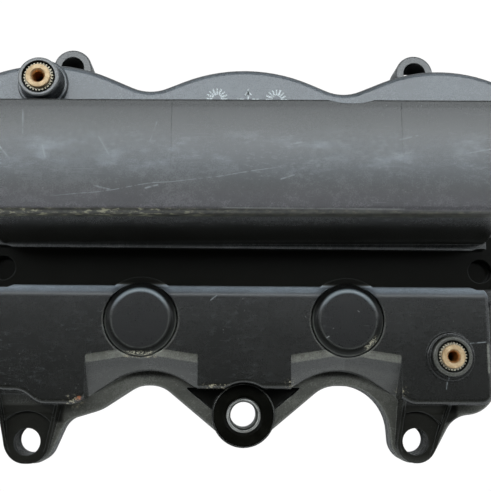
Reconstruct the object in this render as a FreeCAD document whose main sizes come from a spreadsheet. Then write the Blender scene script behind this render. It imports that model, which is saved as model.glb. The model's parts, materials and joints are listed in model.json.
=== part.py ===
"""Moulded cylinder-head cover of a three-cylinder engine, with its oil separator, breather valve,
drain valves, plugs, seals and brass inserts.

Millimetres. Z = 0 is the sealing face on the head, +Z is up, X runs along the crankshaft with its origin at
the middle cylinder, and +Y points to the wavy rear edge of the cover.
"""
import FreeCAD, Part
import math
import os
import re

import Sketcher

from FreeCAD import Placement, Rotation, Vector

os.makedirs("parts", exist_ok=True)
doc = FreeCAD.newDocument("cylinder_head_cover")

# ---------------------------------------------------------------- driving dimensions

CELLS = [
    ("cylinder_pitch", 80.0, "distance between neighbouring cylinders"),
    ("half_length", 110.0, "half length of the flange along X"),
    ("wall", 2.8, "moulded wall thickness"),
    ("flange_width", 5.8, "flange standing outside the body wall"),
    ("flange_height", 9.0, "top of the front flange"),
    ("rim_height", 7.0, "height of the thick rim that holds the seal groove"),
    ("crest_top", 70.8, "Y of a rear crest"),
    ("valley_top", 61.5, "Y of a rear valley"),
    ("crest_radius", 67.0, "radius of a rear crest"),
    ("end_crest_radius", 62.0, "radius of the crests over the end cylinders"),
    ("valley_radius", 18.0, "radius of a rear valley"),
    ("plate_height", 39.5, "top of the rear plate"),
    ("barrel_height", 57.0, "top of the raised separator barrel"),
    ("barrel_south", 7.2, "Y of the barrel top's south edge"),
    ("barrel_north", 52.1, "Y of the barrel top's north edge"),
    ("barrel_foot", 0.9, "Y where the barrel's south wall meets the trough"),
    ("barrel_half", 105.0, "half length of the barrel"),
    ("barrel_round", 3.0, "rounding of the barrel's top edges"),
    ("barrel_wall", 3.3, "wall of the barrel at its middle"),
    ("crown_radius", 305.0, "radius of the barrel's crowned top"),
    ("crown_angle", 3.6, "slope of the barrel's top at its long edges in degrees"),
    ("barrel_rise", 0.009, "rise and northward drift of the barrel per millimetre towards +X"),
    ("notch_radius", 28.7, "radius of the notch that keeps the barrel clear of the right valley"),
    ("label_pad_west", -29.6, "west end of the flat label pad"),
    ("label_pad_east", 59.6, "east end of the flat label pad"),
    ("label_pad_south", 9.1, "south edge of the label pad"),
    ("label_pad_north", 56.0, "north limit of the label pad, past the barrel's edge"),
    ("label_pad_height", 0.1, "height of the label pad over the barrel"),
    ("plinth_edge", -0.6, "Y of the plinth's front at the barrel's foot"),
    ("plinth_height", 17.0, "top of the plinth"),
    ("plinth_round", 1.2, "rounding of the plinth's front edge"),
    ("trough_floor", 14.0, "top of the trough floor"),
    ("end_recess_x", 102.8, "X of the round recess at each end of the trough"),
    ("end_recess_y", -9.3, "Y of the round recesses"),
    ("end_recess_radius", 5.2, "radius of the round recesses"),
    ("end_recess_depth", 4.0, "depth of the round recesses"),
    ("socket_clearance", 9.6, "clearance radius for a socket over a recess"),
    ("deck_height", 21.3, "top of the front deck"),
    ("deck_half", 104.0, "half length of the deck"),
    ("deck_north", -16.8, "Y of the deck's north edge"),
    ("deck_north_round", 4.5, "rounding of the deck's north edge"),
    ("deck_front_round", 2.4, "rounding of the deck's front edge"),
    ("ramp_top", -44.2, "Y where the middle of a ramp leaves the deck"),
    ("ramp_fall", 0.15, "how far a ramp's top edge falls southward per millimetre from its middle"),
    ("ramp_inner", 19.4, "X of a ramp's inner side wall"),
    ("ramp_outer", 65.5, "X of a ramp's outer side wall"),
    ("ramp_angle", 38.0, "slope of a ramp in degrees"),
    ("ramp_round", 6.0, "rounding where a ramp leaves the deck"),
    ("lug_seat", 12.7, "bolt seat height on every lug"),
    ("lug_hole", 5.5, "hole radius of a front lug"),
    ("lug_left_x", -89.6, "X of the front left lug"),
    ("lug_right_x", 72.6, "X of the front right lug"),
    ("lug_y", -81.6, "Y of the front lugs"),
    ("lug_rib", 1.3, "thickness of a lug's side ribs"),
    ("lug_rib_top", 20.0, "height of a lug rib at the deck"),
    ("lug_rib_reach", 4.5, "how far the ribs run past the bolt's axis"),
    ("lug_web_top", 18.4, "height of the web where it meets the deck"),
    ("lug_web_foot", 15.0, "height of the web behind a bolt seat"),
    ("washer_clearance", 12.6, "clearance radius over a lug seat"),
    ("rear_lug_x", 76.9, "X of the rear lugs"),
    ("rear_lug_y", 80.8, "Y of the rear lugs"),
    ("rear_lug_radius", 8.35, "outer radius of a rear lug"),
    ("rear_lug_height", 14.2, "top of a rear lug"),
    ("rear_lug_hole", 5.0, "hole radius of a rear lug"),
    ("boss_y", -70.9, "Y of the centre boss"),
    ("boss_radius", 13.4, "outer radius of the centre boss"),
    ("boss_hole", 5.5, "bolt hole radius of the centre sleeve"),
    ("sleeve_radius", 7.2, "outer radius of the centre sleeve"),
    ("washer_radius", 12.6, "outer radius of the centre sealing washer"),
    ("washer_thick", 1.4, "thickness of the centre sealing washer"),
    ("pocket_floor", 3.2, "floor of the pockets beside the centre boss"),
    ("insert_rear_x", -83.3, "X of the rear left insert"),
    ("insert_rear_y", 63.0, "Y of the rear left insert"),
    ("insert_rear_top", 48.6, "top of the rear left insert boss"),
    ("insert_front_x", 86.1, "X of the front right insert"),
    ("insert_front_y", -46.2, "Y of the front right insert"),
    ("insert_front_top", 25.5, "top of the front right insert boss"),
    ("insert_boss_top", 8.1, "insert boss radius at its top"),
    ("insert_boss_base", 9.2, "insert boss radius at its foot"),
    ("insert_foot", 10.2, "radius of the step round an insert boss"),
    ("insert_foot_height", 1.6, "height of the step round an insert boss"),
    ("insert_pocket", 6.6, "radius of the clearance round an insert's knurl"),
    ("insert_knurl", 5.9, "radius over an insert's knurl"),
    ("insert_face", 4.85, "radius of an insert's face"),
    ("insert_bore", 2.1, "tapping radius of an M5 thread"),
    ("insert_length", 12.0, "length of an insert"),
    ("insert_proud", 1.2, "height of an insert's face over its boss"),
    ("insert_pocket_depth", 3.0, "depth of the clearance round an insert's knurl"),
    ("tooth_depth", 1.0, "depth of a knurl groove"),
    ("tooth_half", 0.5, "half width of a knurl groove at its mouth"),
    ("insert_teeth", 28.0, "number of knurl teeth"),
    ("insert_root", 6.5, "depth of an insert boss below the cover's outer surface"),
    ("plug_x", 43.3, "X of the access plugs"),
    ("plug_y", -31.3, "Y of the access plugs"),
    ("plug_radius", 15.2, "radius of an access plug"),
    ("plug_top", 23.2, "top of an access plug"),
    ("plug_bottom", 12.6, "bottom of an access plug"),
    ("plug_round", 3.6, "rounding of a plug's top edge"),
    ("well_radius", 15.4, "radius of the well that holds a plug"),
    ("well_ledge", 2.1, "width of the ledge that carries a plug"),
    ("well_mouth", 0.25, "bevel round a well's mouth"),
    ("well_depth", 9.0, "length of the well's collar"),
    ("seal_wire", 0.9, "section radius of an O-ring"),
    ("gasket_inset", 3.2, "distance of the seal groove from the flange edge"),
    ("gasket_width", 2.4, "width of the perimeter seal"),
    ("gasket_depth", 2.8, "depth of the seal in its groove"),
    ("gasket_proud", 0.6, "seal standing below the sealing face"),
    ("slack", 0.15, "clearance between loose pieces"),
    ("base_top", 38.0, "top of the separator base"),
    ("base_thick", 2.0, "thickness of the separator base"),
    ("screw_x", 92.0, "X of the outer separator screws"),
    ("screw_south", 13.5, "Y of the south row of separator screws"),
    ("screw_north", 43.5, "Y of the north row of separator screws"),
    ("screw_radius", 1.8, "shank radius of a separator screw"),
    ("screw_length", 13.0, "shank length of a separator screw"),
    ("screw_head", 2.2, "head height of the screws"),
    ("screw_socket", 1.3, "radius of the screws' six-sided sockets"),
    ("screw_socket_depth", 1.4, "depth of the screws' sockets"),
    ("drain_x", 62.0, "X of the oil drain tubes"),
    ("drain_y", 20.0, "Y of the oil drain tubes"),
    ("drain_bottom", 14.0, "bottom of a drain tube"),
    ("drain_bore", 4.0, "bore radius of a drain tube"),
    ("ball_radius", 3.2, "radius of a drain valve ball"),
    ("ball_rest", 15.65, "Z of a drain ball's centre at rest"),
    ("valve_seat", 20.2, "Z of the seat over a drain ball"),
    ("drain_neck", 2.4, "bore radius above a drain valve's seat"),
    ("cage_height", 7.4, "height of a drain cage"),
    ("cage_skirt", 3.2, "cage radius outside the drain bore"),
    ("cage_floor", 1.4, "thickness of a drain cage's floor"),
    ("cage_slot", 1.1, "radius of the drain holes in a cage"),
    ("cage_slot_pitch", 3.6, "distance of the drain holes from the cage's axis"),
    ("spigot_y", 29.0, "Y of the breather outlet"),
    ("spigot_z", 46.5, "Z of the breather outlet"),
    ("spigot_radius", 6.0, "outer radius of the breather outlet"),
    ("spigot_bore", 4.8, "bore radius of the breather outlet"),
    ("spigot_tip", 25.0, "distance of the spigot's tip from the barrel's end"),
    ("spigot_chamfer", 1.2, "lead-in at the spigot's tip"),
    ("outlet_plug", 6.9, "radius of the outlet inside the barrel's wall"),
    ("outlet_bore", 7.1, "bore radius of the outlet's seat in the barrel"),
    ("outlet_inside", 9.0, "depth of the outlet inside the barrel"),
    ("outlet_flange", 3.0, "thickness of the outlet's flange"),
    ("outlet_flange_half", 16.0, "half width of the outlet's flange"),
    ("outlet_flange_height", 6.4, "half height of the outlet's flange"),
    ("outlet_core", 3.4, "bore radius at the breather valve's seat"),
    ("outlet_collar", 8.4, "radius of the collar round the outlet's seat"),
    ("outlet_boss_length", 9.5, "length of the outlet's collar and screw bosses"),
    ("ear_spacing", 24.0, "distance between the outlet's screws"),
    ("ear_radius", 3.8, "radius of the outlet's screw bosses"),
    ("outlet_screw", 1.7, "shank radius of the outlet's screws"),
    ("outlet_screw_head", 3.1, "head radius of the outlet's screws"),
    ("outlet_screw_length", 11.0, "shank length of the outlet's screws"),
    ("seat_plane", 2.0, "distance of the breather valve's seat from the barrel's end"),
    ("chamber_end", 22.0, "distance of the valve chamber's end from the barrel's end"),
    ("outlet_nose", 5.7, "radius of the outlet's nose inside its seal"),
    ("outlet_nose_length", 1.8, "length of the outlet's nose"),
    ("outlet_seal_wire", 0.55, "section radius of the outlet's seal"),
    ("plunger_disc", 4.3, "radius of the breather valve's disc"),
    ("plunger_disc_edge", 1.8, "thickness of the valve's disc at its rim"),
    ("plunger_stem", 1.5, "radius of the valve's stem"),
    ("plunger_length", 19.6, "length of the valve's plunger"),
    ("stem_clearance", 0.06, "radial clearance of the stem in its retainer"),
    ("retainer_outer", 4.74, "outer radius of the valve's retainer"),
    ("retainer_rim", 3.9, "inner radius of the retainer's rim"),
    ("retainer_hub", 2.4, "outer radius of the retainer's hub"),
    ("retainer_thick", 2.2, "thickness of the retainer"),
    ("spring_radius", 3.1, "coil radius of the valve's spring"),
    ("spring_wire", 0.32, "wire radius of the valve's spring"),
    ("spring_turns", 6.5, "turns of the valve's spring"),
    ("nozzle_radius", 1.0, "radius of a separator nozzle"),
    ("nozzle_pitch", 4.1, "distance between neighbouring nozzles in a row"),
    ("nozzle_rise", 4.0, "distance between the rows of nozzles"),
    ("nozzle_first", 14.9, "Y of the southernmost nozzles"),
    ("nozzle_low", 4.5, "height of the lowest nozzles over the separator base"),
    ("baffle_thick", 1.6, "thickness of a baffle"),
    ("guide_rib", 1.5, "thickness of a guide rib"),
    ("guide_height", 3.5, "height of the guide ribs"),
    ("guide_play", 0.1, "play of a plate between its guide ribs"),
    ("guided_south", 12.2, "Y of the south edge of the plates inside the barrel"),
    ("guided_north", 46.5, "Y of the north edge of the plates inside the barrel"),
    ("under_roof", 0.5, "gap between a plate and the barrel's ceiling"),
]

sheet = doc.addObject("Spreadsheet::Sheet", "dimensions")
for row, (alias, value, meaning) in enumerate(CELLS, start=1):
    sheet.set(f"A{row}", meaning)
    sheet.set(f"B{row}", str(value))
    sheet.setAlias(f"B{row}", alias)
doc.recompute()


def dim(alias):
    """The value of one cell of the sheet."""
    return float(getattr(sheet, alias))


def expand(text):
    """An expression over the sheet, from a text that names its cells as $alias."""
    return re.sub(r"\$(\w+)", r"dimensions.\1", text)


def value(text):
    """The number that a sum of cells and numbers stands for now."""
    text = re.sub(r"\$(\w+)", lambda found: str(dim(found.group(1))), text)
    return sum(float(term) for term in text.replace("- ", "+ -").split("+"))


def bind(obj, **expressions):
    """Binds properties of an object to expressions over the sheet's aliases."""
    for prop, text in expressions.items():
        obj.setExpression(prop, expand(text))
    return obj


# ---------------------------------------------------------------- outlines

def rounded_wire(corners, place=lambda u, v: Vector(u, v, 0)):
    """A closed wire through (u, v, radius) corners, each corner turned by an arc of its radius."""
    count = len(corners)
    edges, ends = [], []
    for i, (u, v, radius) in enumerate(corners):
        here = Vector(u, v, 0)
        before = Vector(*corners[i - 1][:2], 0) - here
        after = Vector(*corners[(i + 1) % count][:2], 0) - here
        if radius <= 0:
            ends.append((here, here))
            continue
        before.normalize()
        after.normalize()
        half = before.getAngle(after) / 2
        tangent = radius / math.tan(half)
        middle = (before + after).normalize() * (radius / math.sin(half) - radius)
        first, last = here + before * tangent, here + after * tangent
        arc = Part.Arc(place(first.x, first.y), place(here.x + middle.x, here.y + middle.y),
                       place(last.x, last.y))
        edges.append((i, arc.toShape()))
        ends.append((first, last))
    arcs = dict(edges)
    ordered = []
    for i in range(count):
        if i in arcs:
            ordered.append(arcs[i])
        start, stop = ends[i][1], ends[(i + 1) % count][0]
        if start.distanceToPoint(stop) > 1e-6:
            ordered.append(Part.makeLine(place(start.x, start.y), place(stop.x, stop.y)))
    return Part.Wire(ordered)


def inset(corners, distance):
    """The corners moved inwards by a distance; the outline runs anticlockwise."""
    count = len(corners)
    moved = []
    for i, (u, v, radius) in enumerate(corners):
        pu, pv, _ = corners[i - 1]
        nu, nv, _ = corners[(i + 1) % count]
        a = Vector(u - pu, v - pv, 0).normalize()
        b = Vector(nu - u, nv - v, 0).normalize()
        normal_a, normal_b = Vector(-a.y, a.x, 0), Vector(-b.y, b.x, 0)
        turn = a.x * b.y - a.y * b.x
        shift = (normal_a + normal_b) * (distance / (1 + normal_a.dot(normal_b)))
        kept = radius - distance if turn > 0 else radius + distance
        moved.append((u + shift.x, v + shift.y, max(kept, 0.0) if radius > 0 else 0.0))
    return moved


def mirrored(corners):
    """The corners of one half followed by their mirror image in X, as one closed outline."""
    return corners + [(-u, v, radius) for u, v, radius in reversed(corners) if u]


def tangent_corner(top, radius, angle, sign):
    """Y of the corner whose rounding touches the line y = top."""
    return top + sign * radius * (1 / math.cos(math.radians(angle)) - 1)


pitch, half = dim("cylinder_pitch"), dim("half_length")
WAVE_ANGLE = 23.6
crest_v = tangent_corner(dim("crest_top"), dim("crest_radius"), WAVE_ANGLE, 1)
valley_v = tangent_corner(dim("valley_top"), dim("valley_radius"), WAVE_ANGLE, -1)
wave = [
    (half, 65.4, 6.0),
    (pitch, crest_v, dim("end_crest_radius")),
    (pitch / 2, valley_v, dim("valley_radius")),
    (0.0, crest_v, dim("crest_radius")),
]


def wave_outline():
    """The rear part of the cover in plan, from its wavy edge to a straight line under the barrel."""
    return mirrored(wave) + [(-half, 8.0, 6.0), (half, 8.0, 6.0)]


# The front edge of the deck, from the west end to the east end. Its concave bays follow the two scallops.
deck_half, deck_north = dim("deck_half"), dim("deck_north")
DECK_FRONT, DECK_WEST, BOSS_FRONT, BAY_X, BAY_Y, BAY_RADIUS = -66.2, -60.8, -59.8, 39.0, -47.2, 27.0
deck = [
    (-deck_half, deck_north, 5.0),
    (-deck_half, DECK_WEST, 6.0),
    (-91.5, DECK_WEST, 9.0),
    (-84.0, DECK_FRONT, 9.0),
    (-69.5, DECK_FRONT, 8.0),
    (-BAY_X, BAY_Y, BAY_RADIUS),
    (-20.7, BOSS_FRONT, 3.0),
    (20.7, BOSS_FRONT, 3.0),
    (BAY_X, BAY_Y, BAY_RADIUS),
    (69.5, DECK_FRONT, 8.0),
    (deck_half, DECK_FRONT, 5.0),
    (deck_half, deck_north, 5.0),
]

# The flange runs outside the deck and takes in the front lugs and the centre boss.
FLANGE_FRONT, LUG_TIP, SCALLOP_TOP = -70.2, -90.9, -58.8
boss_corner = dim("boss_y") - (dim("boss_radius") - 0.7) / math.cos(math.radians(39.3))
flange_front = [
    (-half, -65.5, 8.5),
    (-103.8, -69.3, 4.0),
    (-98.6, LUG_TIP, 9.4),
    (-82.0, LUG_TIP, 8.6),
    (-74.5, -73.4, 9.0),
    (-60.5, -69.2, 12.0),
    (-44.5, SCALLOP_TOP, 14.0),
    (-34.8, SCALLOP_TOP, 12.5),
    (0.0, boss_corner, dim("boss_radius") - 0.7),
    (34.8, SCALLOP_TOP, 14.5),
    (61.4, SCALLOP_TOP, 20.5),
    (63.4, LUG_TIP, 9.4),
    (79.4, LUG_TIP, 9.2),
    (90.5, FLANGE_FRONT - 1.4, 12.0),
    (half, -69.6, 14.0),
]
flange = flange_front + mirrored(wave)

# The seal runs inside the lugs, round the body alone.
body_front = inset(deck, -dim("flange_width"))
body = body_front[1:11] + mirrored(wave)
body[0] = (-half, body[0][1], 8.0)
body[9] = (half, body[9][1], 8.0)

SEAT_TIP = LUG_TIP + 0.4
lug_left = [(-102.0, -56.0, 0), (-98.0, SEAT_TIP, 8.8), (-82.3, SEAT_TIP, 8.2), (-73.8, -56.0, 0)]
lug_right = [(67.2, -56.0, 0), (63.8, SEAT_TIP, 8.1), (79.2, SEAT_TIP, 8.4), (90.0, -56.0, 0)]


# ---------------------------------------------------------------- document objects

def outline(name, corners, height=0.0):
    """A flat face in the XY plane at a height."""
    feature = doc.addObject("Part::Feature", name)
    feature.Shape = Part.Face(rounded_wire(corners))
    feature.Placement = Placement(Vector(0, 0, height), Rotation())
    return feature


def side_outline(name, corners, x):
    """A flat face in the YZ plane at an X."""
    feature = doc.addObject("Part::Feature", name)
    feature.Shape = Part.Face(rounded_wire(corners, lambda u, v: Vector(0, u, v)))
    feature.Placement = Placement(Vector(x, 0, 0), Rotation())
    return feature


def extruded(name, face, direction, length):
    """A face extruded along a direction by a length given as an expression over the sheet."""
    solid = doc.addObject("Part::Extrusion", name)
    solid.Base = face
    solid.DirMode = "Custom"
    solid.Dir = direction
    solid.Solid = True
    bind(solid, LengthFwd=length)
    return solid


def prism(name, corners, low, length):
    return extruded(name, outline(name + "_outline", corners, low), Vector(0, 0, 1), length)


def cylinder(name, x, y, low, radius, height):
    """A vertical cylinder whose radius and height are expressions over the sheet."""
    solid = doc.addObject("Part::Cylinder", name)
    bind(solid, Radius=radius, Height=height)
    solid.Placement = Placement(Vector(x, y, low), Rotation())
    return solid


def cone(name, x, y, low, foot, top, height):
    solid = doc.addObject("Part::Cone", name)
    bind(solid, Radius1=foot, Radius2=top, Height=height)
    solid.Placement = Placement(Vector(x, y, low), Rotation())
    return solid


def box(name, low, high):
    """An upright box between two corners."""
    solid = doc.addObject("Part::Box", name)
    solid.Length, solid.Width, solid.Height = (b - a for a, b in zip(low, high))
    solid.Placement = Placement(Vector(*low), Rotation())
    return solid


def fused(name, solids):
    result = doc.addObject("Part::MultiFuse", name)
    result.Shapes = solids
    result.Refine = True
    return result


def cut(name, base, tool):
    result = doc.addObject("Part::Cut", name)
    result.Base, result.Tool = base, tool
    result.Refine = True
    return result


def common(name, base, tool):
    result = doc.addObject("Part::Common", name)
    result.Base, result.Tool = base, tool
    return result


def filleted(name, solid, radius, wanted):
    """The solid with the edges that wanted(edge) picks rounded to a radius in the sheet."""
    doc.recompute()
    result = doc.addObject("Part::Fillet", name)
    result.Base = solid
    size = dim(radius) if isinstance(radius, str) else radius
    result.Edges = [(i, size, size) for i, e in enumerate(solid.Shape.Edges, start=1) if wanted(e)]
    doc.recompute()
    if not result.Shape.isValid() or result.Shape.isNull():
        raise RuntimeError(f"{name}: the fillet failed")
    return result


def lies_at(height, south=-1e3, north=1e3):
    """Picks edges that lie in one horizontal plane, between two values of Y."""
    def wanted(edge):
        room = edge.BoundBox
        level = abs(room.ZMin - height) < 1e-3 and abs(room.ZMax - height) < 1e-3
        return level and room.Center.y > south and room.Center.y < north
    return wanted


# ---------------------------------------------------------------- cover shell

def barrel_section(grow):
    """The barrel's cross-section in Y and Z: drafted south wall, crowned top, upright north wall.

    The top is lifted by grow.
    """
    foot, south, north = dim("barrel_foot"), dim("barrel_south"), dim("barrel_north")
    middle = (south + north) / 2
    slope = math.radians(dim("crown_angle"))
    crown = dim("barrel_height") + grow + dim("crown_radius") * (1 / math.cos(slope) - 1)
    edge = crown - (north - middle) * math.tan(slope)
    low = dim("trough_floor") / 2
    return [(foot - 0.3, low, 0), (north + 1, low, 0), (north, edge, 0.7), (middle, crown, dim("crown_radius")),
            (south, edge, dim("barrel_round")), (foot, dim("trough_floor"), 0)]


def barrel_bar(name, grow):
    """The barrel's section swept along its length."""
    face = side_outline(name + "_section", barrel_section(grow), -dim("barrel_half"))
    return extruded(name, face, Vector(1, 0, 0), "2 * $barrel_half")


def barrel_tilt():
    """A slight turn about the barrel's middle: its east end stands higher and further north."""
    rise, middle = dim("barrel_rise"), (dim("barrel_south") + dim("barrel_north")) / 2
    turn = Rotation(Vector(1, 0, 0), Vector(1, rise, rise))
    return Placement(Vector(), turn, Vector(0, middle, dim("barrel_height")))


def cover_barrel():
    """The raised barrel with rounded ends, its label pad and the plinth along its foot."""
    floor, top = dim("trough_floor"), dim("barrel_height")

    def end_edge(edge):
        room = edge.BoundBox
        return room.XLength < 1e-3 and room.ZMin > floor - 3
    barrel = filleted("barrel", barrel_bar("barrel_blank", 0), "barrel_round", end_edge)
    barrel.Placement = barrel_tilt()
    window = box("pad_window", (dim("label_pad_west"), dim("label_pad_south"), top - 4),
                 (dim("label_pad_east"), dim("label_pad_north"), top + 4))
    raised = barrel_bar("pad_blank", dim("label_pad_height"))
    raised.Placement = barrel_tilt()
    pad = common("label_pad", raised, window)
    valley = dim("valley_top") + dim("valley_radius")
    notch = cylinder("valley_notch", pitch / 2, valley, dim("plate_height"), "$notch_radius", "$barrel_height")
    edge, height = dim("plinth_edge"), dim("plinth_height")
    section = [(edge, 0, 0), (dim("barrel_south"), 0, 0), (dim("barrel_south"), height, 0),
               (edge, height, dim("plinth_round"))]
    face = side_outline("plinth_section", section, -dim("barrel_half"))
    plinth = extruded("plinth", face, Vector(1, 0, 0), "2 * $barrel_half")
    return cut("barrel_notched", fused("barrel_padded", [barrel, pad]), notch), plinth


def cover_outside():
    """Every solid that the cover's outer surface is made of, apart from its front lugs and bosses."""
    block = prism("rear_block", wave_outline(), 0, "$plate_height")
    rear = filleted("rear_body", block, 2.2, lies_at(dim("plate_height")))
    trough = box("trough", (-half, deck_north - 6, 0), (half, 12, dim("trough_floor")))
    return [rear, trough, *cover_barrel(), deck_front(prism("deck_block", deck, 0, "$deck_height"))]


def ramp_tools(name, side, margin, drop):
    """Two wedges that cut a ramp out of the deck; its top edge falls a little to each side of its middle.

    The cavity uses the same wedges, narrowed by a margin and dropped by the wall.
    """
    angle, fall = math.radians(dim("ramp_angle")), dim("ramp_fall")
    start, top = dim("ramp_top"), dim("deck_height") - drop
    middle = side * (dim("ramp_inner") + dim("ramp_outer")) / 2
    width = (dim("ramp_outer") - dim("ramp_inner")) / 2 + margin
    reach, clear = 40.0, 30.0
    north, south = start + clear / 2, start - reach
    profile = [(north, top, 0), (north, top + clear, 0), (south, top + clear, 0),
               (south, top - reach * math.tan(angle), 0), (start, top, dim("ramp_round"))]
    wedges = []
    for word, way in (("a", -1), ("b", 1)):
        solid = doc.addObject("Part::Extrusion", f"{name}_{word}")
        solid.Base = side_outline(f"{name}_section_{word}", profile, middle)
        solid.DirMode, solid.Dir, solid.Solid = "Custom", Vector(way, -fall, 0), True
        solid.LengthFwd = width * math.hypot(1, fall)
        wedges.append(solid)
    return wedges


def deck_front(deck_block):
    """The deck with its front edge rounded, its ramps cut and the bay round the centre boss opened."""
    top = dim("deck_height")
    edged = filleted("deck_edged", deck_block, "deck_front_round", lies_at(top))
    section = [(deck_north, -5, 0), (deck_north, top, dim("deck_north_round")), (-80, top, 0), (-80, -5, 0)]
    face = side_outline("deck_section", section, -half)
    bar = extruded("deck_bar", face, Vector(1, 0, 0), "2 * $half_length")
    edged = common("deck_rounded", edged, bar)
    wedges = ramp_tools("ramp_west", -1, 0, 0) + ramp_tools("ramp_east", 1, 0, 0)
    ramped = cut("deck_ramped", edged, fused("ramp_wedges", wedges))
    bay = cylinder("boss_bay", 0, dim("boss_y"), 0, "$boss_radius + 0.2", "$deck_height + 5")
    opened = cut("deck_opened", ramped, bay)
    doc.recompute()

    def lip(edge):
        """The ramps' lower edges and the top edge of the bay."""
        room = edge.BoundBox
        on_ramp = room.ZMax < top - 3 and room.ZMin > 1 and room.XLength > 9 and room.ZLength > 1
        on_bay = room.ZLength < 1e-3 and abs(room.ZMax - top) < 1e-3 and abs(room.Center.x) < 1
        return on_ramp or (on_bay and room.Center.y < -50)
    return filleted("deck_body", opened, 1.6, lip)


def slope_tool(name, top, foot_y, foot):
    """Everything above a slope that falls from a height at the deck to a foot further south."""
    start, far, high = -62.0, -110.0, 60.0
    profile = [(start, top, 0), (start, high, 0), (far, high, 0), (far, foot, 0), (foot_y, foot, 3.0)]
    face = side_outline(name + "_section", profile, -half - 20)
    return extruded(name, face, Vector(1, 0, 0), "2 * $half_length + 40")


def lug(name, corners, x):
    """A front lug: a bolt seat, a sloping web behind it and two ribs that run down from the deck."""
    seat, y = dim("lug_seat"), dim("lug_y")
    block = filleted(name + "_block", prism(name + "_prism", corners, 0, "$lug_seat"), 1.4,
                     lambda e: lies_at(seat)(e) and e.BoundBox.YMin < y)
    inner = inset(corners, dim("lug_rib"))
    high = prism(name + "_rib_prism", corners, 0, "$lug_rib_top")
    ribs = cut(name + "_rib_wall", high, prism(name + "_rib_hollow", inner, 0, "$lug_rib_top + 5"))
    rib_end = y - dim("lug_rib_reach")
    ribs = cut(name + "_ribs", ribs, slope_tool(name + "_rib_slope", dim("lug_rib_top"), rib_end, seat - 0.01))
    web = prism(name + "_web_prism", inner, 0, "$lug_web_top + 1")
    seat_room = cylinder(name + "_seat_room", x, y, seat, "$washer_clearance", "$lug_rib_top")
    arc = y + dim("washer_clearance")
    slope = slope_tool(name + "_web_slope", dim("lug_web_top"), arc - 1, dim("lug_web_foot"))
    web = cut(name + "_web", web, fused(name + "_web_tools", [seat_room, slope]))
    south = box(name + "_web_window", (-half - 5, -110, -1), (half + 5, y, 60))
    return [block, ribs, cut(name + "_web_north", web, south)]


def flange_with_pockets():
    """The flange, rounded along its edge, with a hollow on each side of the centre boss."""
    slab = prism("flange_slab", flange, 0, "$flange_height")
    slab = filleted("flange_edged", slab, 1.5, lies_at(dim("flange_height"), north=-60))
    inner = inset(flange, dim("flange_width"))
    hollow = prism("pocket_prism", inner, dim("pocket_floor"), "$flange_height")
    window = box("pocket_window", (-24, -90, 0), (24, BOSS_FRONT + 0.3, 30))
    return cut("flange_body", slab, common("pockets", hollow, window))


def rear_lug(side):
    name = "rear_lug_east" if side > 0 else "rear_lug_west"
    x, y, radius, top = side * dim("rear_lug_x"), dim("rear_lug_y"), dim("rear_lug_radius"), dim("rear_lug_height")
    post = cylinder(name + "_post", x, y, 0, "$rear_lug_radius", "$rear_lug_height")
    ring = filleted(name + "_ring", post, 0.7, lies_at(top))
    web = box(name + "_web", (x - radius, y - 24, 0), (x + radius, y - 1.5, top - 1.4))
    return [ring, web]


def insert_boss(name, x, y, low, top):
    """The drafted boss that holds a brass insert, with a step round its foot."""
    height = dim(top) - low
    body_cone = cone(name + "_cone", x, y, low, "$insert_boss_base", "$insert_boss_top", f"${top} - {low}")
    step = cylinder(name + "_step", x, y, low, "$insert_foot", "$insert_foot_height")
    rounded = filleted(name + "_top", body_cone, 0.7, lies_at(low + height))
    return [rounded, filleted(name + "_foot", step, 0.8, lies_at(low + dim("insert_foot_height")))]


def well_collar(side):
    """The collar under the deck that a plug sits in, trimmed where the ramp passes over it."""
    name = "well_east" if side > 0 else "well_west"
    x, y = side * dim("plug_x"), dim("plug_y")
    collar = cylinder(name + "_collar", x, y, dim("deck_height") - dim("well_depth"),
                      "$well_radius + 2.6", "$well_depth - 2")
    ramp = fused(name + "_ramp", ramp_tools(name + "_ramp_wedge", side, 0, 0))
    return cut(name + "_trimmed", collar, ramp)


def barrel_ceiling():
    """Height of the flat ceiling inside the barrel, a wall below the long edges of its crowned top."""
    slope = math.radians(dim("crown_angle"))
    return barrel_section(0)[3][1] - (dim("barrel_north") - dim("barrel_south")) / 2 * math.tan(slope) - \
        dim("barrel_wall")


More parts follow.
